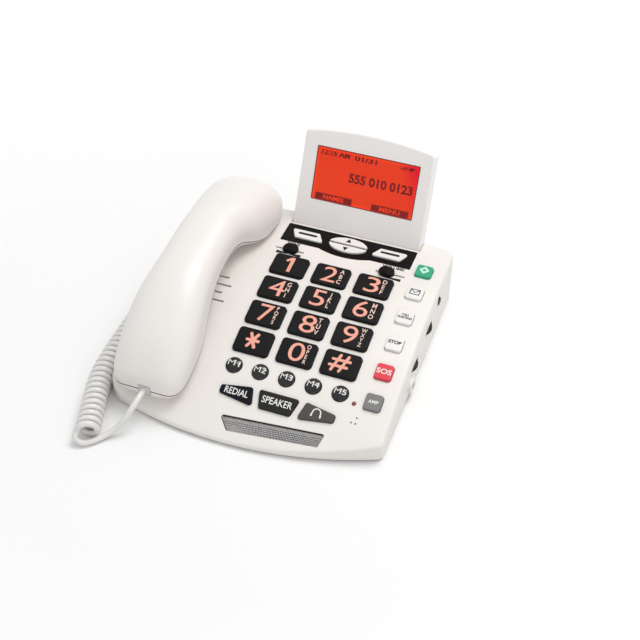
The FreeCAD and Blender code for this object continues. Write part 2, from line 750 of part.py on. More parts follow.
def make_upper_shell():
    outer = outline_block(0, RIM_Z, 70).common(under_deck())
    outer = outer.makeFillet(DECK_EDGE_R, deck_rim(outer))
    inner = outline_block(WALL_T, RIM_Z - 1, 70).common(under_deck(DECK_T))
    seat_grow = SEAT_GAP + SEAT_WALL
    tubs = [handset_foot(spec, seat_grow, 0.5, SEAT_DEPTH + seat_grow)
            for spec in (EAR_FOOT, MOUTH_FOOT)]
    tubs.append(display_pocket(LOOSE + HINGE_WALL, DISPLAY_HALF_W + LOOSE + CHEEK_T))
    tubs = [tub.common(outer) for tub in tubs]
    collar = Part.makeCylinder(JACK_COLLAR_R, WALL_T + JACK_COLLAR_H,
                               V(wall_in, JACK_Y, JACK_Z), V(1, 0, 0))
    shell = fuse([outer.cut(inner)] + tubs + [collar])
    cutters = list(key_openings) + list(panel_openings)
    cutters.append(panel_prism(FIT).cut(under_deck(PANEL_T)))
    cutters.append(plan_prism(grille_corners, GRILLE_R).cut(under_deck(GRILLE_SINK + GRILLE_T)))
    cutters.append(plan_prism(grown(grille_corners, -GRILLE_RIM), GRILLE_R / 2))
    cutters.append(seated(Part.makeCylinder(LED_R + FIT, 20, V(0, 0, -10)), LED_X, LED_ARC))
    for x, arc in MIC_HOLES:
        cutters.append(seated(Part.makeCylinder(MIC_HOLE_R, 10, V(0, 0, -5)), x, arc))
    for i in range(VENT_COUNT):
        right = VENT_RIGHT + i % 2 * VENT_STEP
        cutters.append(slot((VENT_LEFT + right) / 2, VENT_ARC - i * VENT_PITCH,
                            (right - VENT_LEFT) / 2, VENT_W / 2))
    for x in (TONE_SLOT_X, VOLUME_SLOT_X):
        cutters.append(slot(x, SLIDER_ARC, SLOT_L / 2, SLOT_W / 2))
    for spec in (EAR_FOOT, MOUTH_FOOT):
        cutters.append(handset_foot(spec, SEAT_GAP, 10, SEAT_DEPTH + SEAT_GAP))
    cutters.append(Part.makeCylinder(PLUNGER_R + PLUNGER_GAP, 60, V(PLUNGER_X, PLUNGER_Y, 10)))
    cutters.append(display_pocket(LOOSE, DISPLAY_HALF_W + LOOSE))
    cutters += hinge_pins(HINGE_PIN_R + HINGE_GAP, HINGE_PIN_L + LOOSE)
    for y, z in (WHEEL_1, WHEEL_2):
        half_t = WHEEL_T / 2 + LOOSE
        cutters.append(block(wall_in - 1, BASE_HALF_W + 1, y - WHEEL_SLOT_L / 2,
                             y + WHEEL_SLOT_L / 2, z - half_t, z + half_t))
    cutters.append(block(wall_in - 1, BASE_HALF_W + 1, SWITCH_Y - SWITCH_SLOT_L / 2,
                         SWITCH_Y + SWITCH_SLOT_L / 2, SWITCH_Z - SWITCH_SLOT_H / 2,
                         SWITCH_Z + SWITCH_SLOT_H / 2))
    cutters.append(Part.makeCylinder(JACK_SLEEVE_R + FIT, 20, V(wall_in - 2, JACK_Y, JACK_Z),
                                     V(1, 0, 0)))
    y = rear_wall(LINE_JACK_X)
    cutters.append(block(LINE_JACK_X - SOCKET_W / 2, LINE_JACK_X + SOCKET_W / 2, y - 5, y + 5,
                         SOCKET_Z - SOCKET_H / 2, SOCKET_Z + SOCKET_H / 2))
    y = rear_wall(POWER_JACK_X)
    cutters.append(Part.makeCylinder(POWER_R + 0.5, 10, V(POWER_JACK_X, y - 5, SOCKET_Z),
                                     V(0, 1, 0)))
    half_w, half_h = PLUG_W / 2 + PLUG_FIT, PLUG_H / 2 + PLUG_FIT
    cutters.append(block(-BASE_HALF_W - 1, -wall_in + 1, CORD_JACK_Y - half_w,
                         CORD_JACK_Y + half_w, CORD_JACK_Z - half_h, CORD_JACK_Z + half_h))
    return shell.cut(cutters)


upper_shell = make_upper_shell()
write("base_upper_shell", upper_shell)
write("softkey_panel", panel_prism(0).common(under_deck()).cut(under_deck(PANEL_T))
      .cut(panel_openings))
grille = plan_prism(grown(grille_corners, -FIT), GRILLE_R - FIT)
grille = grille.common(under_deck(GRILLE_SINK)).cut(under_deck(GRILLE_SINK + GRILLE_T))
write("speaker_grille", grille.cut(grille_holes()))

# ----------------------------------------------------- lower shell and rubber feet

floor_top = FLOOR_Z + FLOOR_T


def standing(x, y, radius, top):
    """A round post from the floor up to top."""
    return Part.makeCylinder(radius, top - floor_top + 0.5, V(x, y, floor_top - 0.5))


def make_lower_shell():
    inside = WALL_T + FIT
    clear = under_deck(DECK_T + FIT)
    parts = [outline_block(RIM_INSET, FLOOR_Z, RIM_Z),
             outline_block(inside, RIM_Z - 0.5, floor_top).common(clear),
             outline_block(inside, floor_top - 0.5, LIP_Z)
             .cut(outline_block(inside + LIP_T, floor_top - 1, LIP_Z + 1)).common(clear)]
    for x, y in POST_SPOTS:
        parts.append(standing(x, y, POST_R, 50).cut(board_slab(-BOARD_T, 90, -40)))
    for y, z in (WHEEL_1, WHEEL_2):
        parts.append(standing(wheel_x, y, POST_R - 0.6, z - wheel_drop - WHEEL_POT_H))
    parts.append(standing(switch_x, SWITCH_Y, POST_R, SWITCH_Z - switch_half))
    parts.append(standing(PLUNGER_X, PLUNGER_Y, POST_R, plunger_foot - HOOK_SWITCH_H))
    shell = fuse(parts)
    return shell.cut([Part.makeCylinder(FOOT_R + FIT, FOOT_SINK, V(x, y, FLOOR_Z))
                      for x, y in foot_spots])


foot_spots = [(side * FOOT_X, y) for side in (-1, 1) for y in (FOOT_FRONT_Y, FOOT_REAR_Y)]
wheel_drop = WHEEL_T / 2 + LOOSE
switch_x = wall_in - 6.0
switch_half = SWITCH_SLOT_H / 2 + 1.0
seat_floor = deck_z(PLUNGER_Y, SEAT_DEPTH + SEAT_GAP)
plunger_top = deck_z(PLUNGER_Y, SEAT_DEPTH) - 0.1
plunger_foot = plunger_top - PLUNGER_L

write("base_lower_shell", make_lower_shell())
write("rubber_feet", Part.makeCompound([Part.makeCylinder(FOOT_R, FOOT_T, V(x, y, 0))
                                        for x, y in foot_spots]))

# ------------------------------------------- sliders, wheels, switches and their pots

pots = []
pot_rooms = []


def on_board(shape, x, arc):
    """A shape drawn on the board's top, carried under a spot of the deck."""
    foot = board_spot(x, arc)
    placed = shape.copy()
    placed.Placement = board_frame().multiply(FreeCAD.Placement(foot, FreeCAD.Rotation()))
    return placed


def make_slider(slot_x, knob_x):
    """A crowned knob on the deck whose blade dips into a pot on the board."""
    travel = SLOT_L / 2 - BLADE_L / 2 - LOOSE
    room = block(-POT_W / 2 - LOOSE, POT_W / 2 + LOOSE, -POT_L / 2 - LOOSE,
                 POT_L / 2 + LOOSE, 0, POT_H)
    groove = block(-travel - BLADE_L / 2 - LOOSE, travel + BLADE_L / 2 + LOOSE,
                   -GROOVE_W / 2, GROOVE_W / 2, POT_H - BLADE_REACH - 0.8, POT_H + 1)
    pots.append(on_board(block(-POT_W / 2, POT_W / 2, -POT_L / 2, POT_L / 2, 0, POT_H)
                         .cut(groove), slot_x, SLIDER_ARC))
    pot_rooms.append(on_board(room, slot_x, SLIDER_ARC))
    knob = rounded(rectangle(KNOB_HALF_W, KNOB_HALF_L), KNOB_H, KNOB_HALF_L - 0.2)
    knob.translate(V(0, 0, 0.25))
    crown = Part.makeCylinder(KNOB_CROWN_R, 2 * KNOB_HALF_L,
                              V(0, -KNOB_HALF_L, KNOB_H - KNOB_CROWN_R), V(0, 1, 0))
    start = on_deck(knob_x, SLIDER_ARC).Base
    foot = board_frame().multVec(board_spot(knob_x, SLIDER_ARC))
    depth = (start - foot).Length - POT_H + BLADE_REACH
    blade = block(-BLADE_L / 2, BLADE_L / 2, -BLADE_W / 2, BLADE_W / 2, -depth, 1)
    return seated(fuse([knob.common(crown), blade]), knob_x, SLIDER_ARC)


def make_wheel(y, z):
    """A ribbed thumbwheel that turns about an upright shaft."""
    low = z - WHEEL_T / 2
    core = Part.makeCylinder(WHEEL_R - WHEEL_RIB_R, WHEEL_T, V(wheel_x, y, low))
    ribs = []
    for i in range(WHEEL_RIBS):
        turn = 2 * math.pi * i / WHEEL_RIBS
        reach = WHEEL_R - WHEEL_RIB_R
        ribs.append(Part.makeCylinder(WHEEL_RIB_R, WHEEL_T,
                                      V(wheel_x + reach * math.cos(turn),
                                        y + reach * math.sin(turn), low)))
    wheel = fuse([core] + ribs)
    half = WHEEL_POT_W / 2
    body = block(wheel_x - half, wheel_x + half, y - half, y + half,
                 z - wheel_drop - WHEEL_POT_H, z - wheel_drop)
    shaft = Part.makeCylinder(WHEEL_BORE_R - 0.1, wheel_drop + WHEEL_T / 2,
                              V(wheel_x, y, z - wheel_drop))
    pots.append(fuse([body, shaft]))
    return wheel.cut(Part.makeCylinder(WHEEL_BORE_R, WHEEL_T + 2, V(wheel_x, y, low - 1)))


write("tone_slider", make_slider(TONE_SLOT_X, TONE_KNOB_X))
write("volume_slider", make_slider(VOLUME_SLOT_X, VOLUME_KNOB_X))
write("ringer_volume_wheel", make_wheel(*WHEEL_1))
write("ringer_tone_wheel", make_wheel(*WHEEL_2))

half_y = SWITCH_SLOT_L / 2 - LOOSE
switch_knob = block(wall_in - 3, BASE_HALF_W + SWITCH_PROUD, SWITCH_Y - half_y,
                    SWITCH_Y + half_y, SWITCH_Z - SWITCH_KNOB_H / 2,
                    SWITCH_Z + SWITCH_KNOB_H / 2)
plate_half = SWITCH_SLOT_L / 2 + 0.9
switch_plate = block(wall_in - 1.6, wall_in - 0.3, SWITCH_Y - plate_half,
                     SWITCH_Y + plate_half, SWITCH_Z - plate_half, SWITCH_Z + plate_half)
write("side_switch", fuse([switch_knob, switch_plate]))
switch_body = block(switch_x - 3.5, wall_in - 2.0, SWITCH_Y - 3.6, SWITCH_Y + 3.6,
                    SWITCH_Z - switch_half, SWITCH_Z + switch_half)
reach = SWITCH_KNOB_H / 2 + SWITCH_TRAVEL + 0.3
pots.append(switch_body.cut(block(wall_in - 3.5, wall_in, SWITCH_Y - half_y - 0.4,
                                  SWITCH_Y + half_y + 0.4, SWITCH_Z - reach,
                                  SWITCH_Z + reach)))

# --------------------------------------------------- hook plunger and its switch

plunger = Part.makeCylinder(PLUNGER_R, PLUNGER_L, V(PLUNGER_X, PLUNGER_Y, plunger_foot))
plunger = plunger.makeFillet(0.8, top_edges(plunger, plunger_top))
flange_z = seat_floor - SEAT_WALL - PLUNGER_TRAVEL - PLUNGER_FLANGE_T - 0.5
write("hook_plunger", fuse([plunger, Part.makeCylinder(PLUNGER_FLANGE_R, PLUNGER_FLANGE_T,
                                                       V(PLUNGER_X, PLUNGER_Y, flange_z))]))
half = HOOK_SWITCH_W / 2
pots.append(block(PLUNGER_X - half, PLUNGER_X + half, PLUNGER_Y - half, PLUNGER_Y + half,
                  plunger_foot - HOOK_SWITCH_H, plunger_foot - 0.1))
write("control_pots", Part.makeCompound(pots))

# ------------------------------------------------- loudspeaker, board, mat and LED

speaker = rounded(rectangle(SPEAKER_W / 2, SPEAKER_L / 2), 20, SPEAKER_L / 3)
speaker.translate(V(0, 0, -DECK_T - SPEAKER_T))
grille_mid = sum(x for x, y in grille_corners) / 4
write("loudspeaker", seated(speaker, grille_mid, SPEAKER_ARC).common(under_deck(DECK_T)))
write("main_board", board_slab(-BOARD_T, 0))

led = fuse([Part.makeCylinder(LED_R, 40, V(0, 0, -40)), Part.makeSphere(LED_R)])
led = seated(led, LED_X, LED_ARC).cut(board_slab(-80, 0, -40))
write("status_led", led)

mat = board_slab(0, MAT_T, 0.6)
domes = []
for x, arc in key_spots:
    domes.append(on_board(Part.makeCone(DOME_R, STEM_R, DOME_H + 0.1,
                                        V(0, 0, MAT_T - 0.1)), x, arc))
mat = fuse([mat] + domes).cut(pot_rooms + [
    seated(Part.makeCylinder(LED_R + LOOSE, 60, V(0, 0, -50)), LED_X, LED_ARC)])
write("key_mat", mat)

# ------------------------------------------------------------------------ sockets

y = rear_wall(LINE_JACK_X) - WALL_T - LOOSE
half_w, half_h = SOCKET_W / 2, SOCKET_H / 2
line_jack = block(LINE_JACK_X - half_w - SOCKET_SHELL, LINE_JACK_X + half_w + SOCKET_SHELL,
                  y - SOCKET_D, y, floor_top, SOCKET_Z + half_h + SOCKET_SHELL)
line_jack = line_jack.cut(block(LINE_JACK_X - half_w, LINE_JACK_X + half_w,
                                y - SOCKET_D + SOCKET_SHELL, y + 1, SOCKET_Z - half_h,
                                SOCKET_Z + half_h))
y = rear_wall(POWER_JACK_X) - WALL_T - LOOSE
half = POWER_R + 2 * SOCKET_SHELL
power_jack = block(POWER_JACK_X - half, POWER_JACK_X + half, y - SOCKET_D, y, floor_top,
                   SOCKET_Z + half)
power_jack = power_jack.cut(Part.makeCylinder(POWER_R, POWER_D + 1, V(POWER_JACK_X,
                            y - POWER_D, SOCKET_Z), V(0, 1, 0)))
power_pin = Part.makeCylinder(POWER_PIN_R, POWER_D, V(POWER_JACK_X, y - POWER_D - 1, SOCKET_Z),
                              V(0, 1, 0))
plug_in_x = -BASE_HALF_W - PLUG_OUT + PLUG_L
half_w, half_h = PLUG_W / 2 + PLUG_FIT, PLUG_H / 2 + PLUG_FIT
cord_jack = block(-wall_in + LOOSE, plug_in_x + SOCKET_SHELL, CORD_JACK_Y - half_w - SOCKET_SHELL,
                  CORD_JACK_Y + half_w + SOCKET_SHELL, floor_top,
                  CORD_JACK_Z + half_h + SOCKET_SHELL)
cord_jack = cord_jack.cut(block(-wall_in - 1, plug_in_x, CORD_JACK_Y - half_w,
                                CORD_JACK_Y + half_w, CORD_JACK_Z - half_h,
                                CORD_JACK_Z + half_h))
sleeve_out = BASE_HALF_W + JACK_COLLAR_H
sleeve = Part.makeCylinder(JACK_SLEEVE_R, JACK_L, V(sleeve_out - JACK_L, JACK_Y, JACK_Z),
                           V(1, 0, 0))
carrier = block(sleeve_out - JACK_L - 1, wall_in - LIP_T - 1, JACK_Y - 4, JACK_Y + 4,
                floor_top, JACK_Z + 4)
headset_jack = fuse([sleeve, carrier]).cut(
    Part.makeCylinder(JACK_R, JACK_L, V(sleeve_out - JACK_L, JACK_Y, JACK_Z), V(1, 0, 0)))
lip_room = outline_block(WALL_T, 0, LIP_Z + FIT).cut(
    outline_block(WALL_T + LIP_T + 2 * FIT, -1, LIP_Z + 1))
write("sockets", Part.makeCompound([jack.cut(lip_room) for jack in (
    line_jack, fuse([power_jack, power_pin]), cord_jack, headset_jack)]))
base_plug = block(-BASE_HALF_W - PLUG_OUT, plug_in_x, CORD_JACK_Y - PLUG_W / 2,
                  CORD_JACK_Y + PLUG_W / 2, CORD_JACK_Z - PLUG_H / 2,
                  CORD_JACK_Z + PLUG_H / 2)
write("base_plug", base_plug)

# ------------------------------------------------------------------------ display


def display_outline(inset, foot, z0, z1):
    """The display's face from foot upwards, moved inwards by inset."""
    low, high = DISPLAY_HALF_W - inset, DISPLAY_TOP_HALF_W - inset
    shoulder = DISPLAY_SHOULDER + DISPLAY_SINK - inset
    top = DISPLAY_H + DISPLAY_SINK - inset
    corners = [V(-high, shoulder, z0), V(-low, foot, z0), V(low, foot, z0),
               V(high, shoulder, z0)]
    edges = [Part.LineSegment(a, b).toShape() for a, b in zip(corners, corners[1:])]
    edges.append(Part.Arc(corners[3], V(0, top, z0), corners[0]).toShape())
    solid = Part.Face(Part.Wire(edges)).extrude(V(0, 0, z1 - z0))
    upper = [e for e in upright_edges(solid) if e.Vertexes[0].Point.y > shoulder - 1]
    return solid.makeFillet(DISPLAY_CORNER_R - inset, upper)


face_z = DISPLAY_T / 2
split_z = face_z - FRAME_T
slab = display_outline(0, 0, -face_z, face_z)
slab = slab.makeFillet(DISPLAY_EDGE_R, [
    e for e in top_edges(slab, face_z) + top_edges(slab, -face_z)
    if e.BoundBox.YMax > 1])
barrel = Part.makeCylinder(face_z, 2 * DISPLAY_HALF_W, V(-DISPLAY_HALF_W, 0, 0), V(1, 0, 0))
display = fuse([slab, barrel])
lcd_z = face_z - DISPLAY_WALL - LENS_SINK
display = display.cut(display_outline(DISPLAY_WALL, face_z + DISPLAY_WALL,
                                      -face_z + DISPLAY_WALL, lcd_z))
window_mid = V(LENS_X - DISPLAY_X, LENS_MID + DISPLAY_SINK, 0)


def window_block(margin, corner, z0, z1):
    """A rounded block round the window, margin larger on each side."""
    solid = rounded(rectangle(LENS_W / 2 + margin, LENS_L / 2 + margin), z1 - z0, corner)
    solid.translate(window_mid + V(0, 0, z0))
    return solid


lens_z = face_z - LENS_SINK - LENS_T
front = display.common(block(-100, 100, -50, 100, split_z, 50))
front = front.cut([window_block(FIT, LENS_R + FIT, lens_z, 20),
                   window_block(-LENS_SEAT, LENS_R, -20, 20)])
axis = display_frame_at()
rear = display.common(block(-100, 100, -50, 100, -50, split_z))
rear.Placement = axis
rear = fuse([rear] + hinge_pins(HINGE_PIN_R, HINGE_PIN_L))
write("display_back", rear)
for name, piece in (("display_frame", front),
                    ("display_lens", window_block(0, LENS_R, lens_z, lens_z + LENS_T)),
                    ("lcd_module", window_block(LCD_MARGIN, 1.0, lcd_z - LCD_T, lcd_z))):
    piece.Placement = axis.multiply(piece.Placement)
    write(name, piece)

# ------------------------------------------------------------------------ handset


def handset_section(station, inset):
    """One closed curve across the handset."""
    y, half_w, wide, top, low, sway = station
    half_w, top, low = half_w - inset, top - inset, low + inset
    points = []
    for i in range(20):
        turn = 2 * math.pi * i / 20
        c, s = math.cos(turn), math.sin(turn)
        power, height = ((HANDSET_BACK_POWER, top - wide) if s >= 0
                         else (HANDSET_FACE_POWER, wide - low))
        x = math.copysign(abs(c) ** (2 / power), c) * half_w
        z = math.copysign(abs(s) ** (2 / power), s) * height
        points.append(V(HANDSET_X + sway + x, y, wide + z))
    curve = Part.BSplineCurve()
    curve.interpolate(points, PeriodicFlag=True)
    return Part.Wire([curve.toShape()])


def handset_loft(stations, inset=0.0):
    return Part.makeLoft([handset_section(station, inset) for station in stations], True)


def seam_block():
    """Everything above the seam."""
    points = [V(-100, y, wide - SEAM_SHARE * (wide - low))
              for y, half_w, wide, top, low, sway in HANDSET_STATIONS]
    points = [V(-100, points[0].y - 20, points[0].z)] + points
    points.append(V(-100, points[-1].y + 20, points[-1].z))
    curve = Part.BSplineCurve()
    curve.interpolate(points)
    a, b = points[0], points[-1]
    lines = [Part.LineSegment(b, V(-100, b.y, 120)).toShape(),
             Part.LineSegment(V(-100, b.y, 120), V(-100, a.y, 120)).toShape(),
             Part.LineSegment(V(-100, a.y, 120), a).toShape()]
    return Part.Face(Part.Wire([curve.toShape()] + lines)).extrude(V(100, 0, 0))


skin = handset_loft(HANDSET_STATIONS)
end_y = HANDSET_STATIONS[0][0]
hollow = handset_loft(HANDSET_STATIONS[1:-1], HANDSET_WALL)
above = seam_block()
plug_wall = SOCKET_SHELL + PLUG_FIT
plug_in_y = end_y - PLUG_OUT + PLUG_L
plug_box = block(PLUG_X - PLUG_W / 2 - plug_wall, PLUG_X + PLUG_W / 2 + plug_wall, end_y - 1,
                 plug_in_y + SOCKET_SHELL, PLUG_Z - PLUG_H / 2 - plug_wall,
                 PLUG_Z + PLUG_H / 2 + plug_wall)
plug_room = block(PLUG_X - PLUG_W / 2 - PLUG_FIT, PLUG_X + PLUG_W / 2 + PLUG_FIT, end_y - 2,
                  plug_in_y, PLUG_Z - PLUG_H / 2 - PLUG_FIT, PLUG_Z + PLUG_H / 2 + PLUG_FIT)
body = fuse([skin.cut(hollow), plug_box.common(skin)]).cut(plug_room)
write("handset_back", body.common(above))

ear_y = EAR_FOOT[0]
ear_floor = deck_z(ear_y, SEAT_DEPTH) + HANDSET_WALL
mouth_arc = arc_at(MOUTH_FOOT[0])
feet = [handset_foot(spec, 0, 5.2, SEAT_DEPTH) for spec in (EAR_FOOT, MOUTH_FOOT)]
face = fuse([body.cut(above)] + feet)
mouth_floor = -SEAT_DEPTH + HANDSET_WALL
bores = [Part.makeCylinder(RECEIVER_R + FIT, 20, V(HANDSET_X, ear_y, ear_floor)),
         seated(Part.makeCylinder(CAPSULE_R + FIT, 20, V(0, 0, mouth_floor)), HANDSET_X,
                mouth_arc)]
for i in range(EAR_HOLES):
    turn = 2 * math.pi * i / EAR_HOLES
    bores.append(Part.makeCylinder(EAR_HOLE_R, 20, V(HANDSET_X + EAR_RING_R * math.cos(turn),
                                                     ear_y + EAR_RING_R * math.sin(turn),
                                                     ear_floor - 10)))
for side in (-1, 0, 1):
    bores.append(seated(Part.makeCylinder(EAR_HOLE_R, 20, V(side * 3.0, 0, -15)), HANDSET_X,
                        mouth_arc))
write("handset_face", face.cut(bores))
write("receiver", Part.makeCylinder(RECEIVER_R, RECEIVER_T, V(HANDSET_X, ear_y, ear_floor)))
write("microphone", seated(Part.makeCylinder(CAPSULE_R, CAPSULE_T, V(0, 0, mouth_floor)),
                           HANDSET_X, mouth_arc))
write("handset_plug", block(PLUG_X - PLUG_W / 2, PLUG_X + PLUG_W / 2, end_y - PLUG_OUT,
                            plug_in_y, PLUG_Z - PLUG_H / 2, PLUG_Z + PLUG_H / 2))

# --------------------------------------------------------------------------- cord


def tube(route, radius):
    """A round tube along straight runs that tangent arcs join."""
    points = [V(x - BASE_HALF_W, y, z) for x, y, z in route]
    edges, start, radii = [], points[0], []
    for before, corner, after in zip(points, points[1:], points[2:]):
        into, out = corner - before, after - corner
        reach = 0.45 * min(into.Length, out.Length)
        into, out = into.normalize(), out.normalize()
        first, last = corner - into * reach, corner + out * reach
        half_turn = into.getAngle(out) / 2
        bend = reach / math.tan(half_turn)
        middle = corner + (out - into).normalize() * bend * (1 / math.cos(half_turn) - 1)
        edges.append(Part.LineSegment(start, first).toShape())
        edges.append(Part.Arc(first, middle, last).toShape())
        start = last
        radii.append(round(bend, 1))
    edges.append(Part.LineSegment(start, points[-1]).toShape())
    path = Part.Wire(edges)
    ring = Part.Wire([Part.Circle(points[0], points[1] - points[0], radius).toShape()])
    pipe = path.makePipeShell([ring], True, False)
    print("cord", round(path.Length, 1), "mm, volume against section times length",
          round(pipe.Volume / (math.pi * radius ** 2 * path.Length), 3), "bend radii", radii)
    return pipe


write("cord_tail_front", tube(TAIL_FRONT, CORD_R))
write("cord_coil", tube(COIL_PATH, COIL_R))
write("cord_tail_rear", tube(TAIL_REAR, CORD_R))
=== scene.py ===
"""Looks for the corded emergency desk phone: finishes, key legends, the lit
display's picture, the speaker's wire screen, the curly cord and a plain stage."""

import json
import math

import bmesh
import bpy
from bpy.props import FloatProperty, FloatVectorProperty, IntProperty, PointerProperty
from mathutils import Matrix, Vector

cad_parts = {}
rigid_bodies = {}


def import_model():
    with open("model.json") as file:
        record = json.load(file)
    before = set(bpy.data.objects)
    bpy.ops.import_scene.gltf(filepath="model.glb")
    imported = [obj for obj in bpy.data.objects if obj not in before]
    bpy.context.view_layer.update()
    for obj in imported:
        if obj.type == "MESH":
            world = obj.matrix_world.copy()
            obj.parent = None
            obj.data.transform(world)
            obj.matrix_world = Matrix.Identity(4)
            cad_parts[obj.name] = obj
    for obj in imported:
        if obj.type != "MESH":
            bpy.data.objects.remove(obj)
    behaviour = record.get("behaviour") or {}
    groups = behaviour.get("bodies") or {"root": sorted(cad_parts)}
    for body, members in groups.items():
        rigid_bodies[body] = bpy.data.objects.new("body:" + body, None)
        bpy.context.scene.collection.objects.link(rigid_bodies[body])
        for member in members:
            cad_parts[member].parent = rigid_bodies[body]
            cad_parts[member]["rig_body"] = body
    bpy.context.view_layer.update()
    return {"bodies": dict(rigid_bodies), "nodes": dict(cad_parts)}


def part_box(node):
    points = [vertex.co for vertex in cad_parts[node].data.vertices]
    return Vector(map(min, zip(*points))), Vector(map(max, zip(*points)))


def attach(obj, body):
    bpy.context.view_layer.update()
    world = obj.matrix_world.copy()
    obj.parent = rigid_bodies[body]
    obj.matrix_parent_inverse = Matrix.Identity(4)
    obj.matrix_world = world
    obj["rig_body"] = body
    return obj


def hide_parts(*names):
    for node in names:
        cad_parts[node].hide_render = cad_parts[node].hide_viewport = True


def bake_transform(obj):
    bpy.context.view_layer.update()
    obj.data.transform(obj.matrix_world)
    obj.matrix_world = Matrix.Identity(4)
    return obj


bl_info = {
    "name": "Emergency desk phone",
    "version": (1, 0, 0),
    "blender": (4, 5, 0),
    "location": "View3D > Sidebar > Desk Phone",
    "description": "Dresses the packed desk phone in its finishes, legends and cord",
    "category": "Object",
}

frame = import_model()

MM = 0.001

# the camera's place, the axes of its picture, its lens and its sensor's width
CAMERA = Vector((194.75, -466.05, 528.49))
CAMERA_RIGHT = Vector((0.93996, 0.3413, 0.0))
CAMERA_UP = Vector((-0.24037, 0.662, 0.70991))
LENS, SENSOR = 64.69, 36.0

# the drawing's zero, and the part's forms that carry prints
DRAWING = Vector((1.00, 18.53, 0.0))
WALL_X = -86.5              # left wall of the base
DECK_R = 311.0              # the deck's crown, which is highest at CROWN_Y
CROWN_Y, CROWN_Z = 57.9, 37.7
COLUMN = 28.0               # pitch of the dial's columns
DIAL_X, ROW_ARC, ROW_PITCH = 19.1, -19.9, 20.6
MEMORY_X, MEMORY_PITCH, MEMORY_DROP = 18.9, 16.9, 17.8
MEMORY_DOME_R = 9.0
LINE_X, LINE_DROP = 18.6, 16.5
SIDE_X, SIDE_RISE = 73.3, 2.5
PANEL_X, SOFT_ARC, SOFT_OFF = 19.85, 11.65, 28.1
SCROLL_ARC, SCROLL_OFF = 11.2, 3.7
SLIDER_ARC = -5.1
KNOB_HALF_W, KNOB_HALF_L, KNOB_H, KNOB_CROWN_R = 5.2, 3.4, 3.0, 9.5
RIBS, RIB_PITCH, RIB_W, RIB_H = 7, 1.2, 0.5, 0.7
KNOB_EDGE, RIB_SHORT = 0.2, 0.3     # a knob's soft edge, and how far its ribs stop before it
DISPLAY = Vector((20.5, 82.0, 37.0))
DISPLAY_TILT = 65.5
DISPLAY_T, DISPLAY_SINK = 12.0, 5.2
WINDOW = Vector((0.5, 40.8))        # window's middle on the face
WINDOW_W, WINDOW_L = 69.0, 35.8
PICTURE_Z = 3.7                     # front of the display module
LENS_FRONT = 2.03                   # from there to the print on the lens
RIM, EDGE = 0.55, 1.5               # widths of the dark rim print and of the painted glow of the display's light inside it
WORD_X, WORD_Y = 19.2, -15.0        # a soft key's word, out from the window's middle
SEAM_AND_SHADE_WIDTH = 0.7                          # width of the dark band at the handset's parting line: a real dark joint, and painted contact shade against the deck

# how far over the deck a key carries its print; the side keys are as high as the dial's
DIAL_TOP, LINE_TOP, MEMORY_TOP, SOFT_TOP = 1.9, 1.7, 2.35, 1.0
NUMERAL_UP = 0.3            # a numeral stands this much above its key's middle
STACK_X, STACK_H = 6.3, 9.2     # a key's letters: their place; their height, and 1 more for each
INK = 0.05                  # thickness of a print
CROSSING = 0.012            # lift of one bar over another that it crosses
LETTER_DEPTH = 0.02         # a letter's thickness before it is scaled
CREASE = 26.0               # an edge that turns more degrees than this stays sharp
MERGE = 2e-6                # metres within which a CAD mesh's loose vertices are one

MEMORY_ARC = ROW_ARC - 3 * ROW_PITCH - MEMORY_DROP
LINE_ARC = MEMORY_ARC - LINE_DROP

# corners of the speaker's opening, from its rear left round to its front left
SCREEN = [Vector((-12.4, -69.2)), Vector((52.4, -64.6)), Vector((50.2, -72.7)),
          Vector((-5.2, -77.3))]
SCREEN_DROP, SCREEN_WIRE = 1.1, 0.52    # depth under the deck's crown, and thickness

# the cord's route; X is measured from the left wall
CORD_R = 1.9
TURN_STEPS = 12             # points on one turn of the coil
TAIL_FRONT = [
    (27.6, -74.1, 18.5),
    (27.6, -82.6, 18.5),
    (26.2, -88.8, 15.6),
    (23.5, -92.9, 10.6),
    (19.7, -96.7, 5.6),
    (14.7, -101.2, 2.6),
    (9.8, -107.4, 2.0),
    (4.2, -112.0, 2.2),
    (-0.9, -111.6, 5.0),
]
COIL_AXIS = [
    (5.6, -107.0, 7.5),
    (0.3, -89.5, 7.5),
    (-7.3, -66.0, 7.5),
    (-8.7, -44.0, 7.5),
    (-8.5, -14.0, 7.5),
    (-8.4, 18.0, 7.5),
    (-9.3, 40.0, 7.5),
]
TAIL_REAR = [
    (-13.2, 42.9, 2.0),
    (-18.1, 50.0, 2.4),
    (-19.1, 58.5, 4.2),
    (-15.7, 65.8, 6.4),
    (-8.9, 70.0, 8.4),
    (-0.6, 70.0, 8.4),
]


# ------------------------------------------------------------- what a user sets


def tint(label, default):
    """A colour that a user can set."""
    return FloatVectorProperty(name=label, description=label + " of the phone",
                               subtype="COLOR", size=3, min=0, max=1, default=default)


class PhoneColours(bpy.types.PropertyGroup):
    """Colours of the phone's finishes."""

    case: tint("Colour of the base", (0.815, 0.78, 0.74))
    handset: tint("Colour of the handset", (0.82, 0.79, 0.76))
    display: tint("Colour of the display's case", (0.90, 0.87, 0.85))
    dial: tint("Colour of the dial keys", (0.006, 0.006, 0.007))
    numerals: tint("Colour of the numerals", (0.79, 0.29, 0.21))
    alarm: tint("Colour of the SOS key", (0.72, 0.045, 0.065))
    signal: tint("Colour of the green key", (0.03, 0.36, 0.19))
    picture: tint("Colour of the lit display", (0.87, 0.043, 0.018))


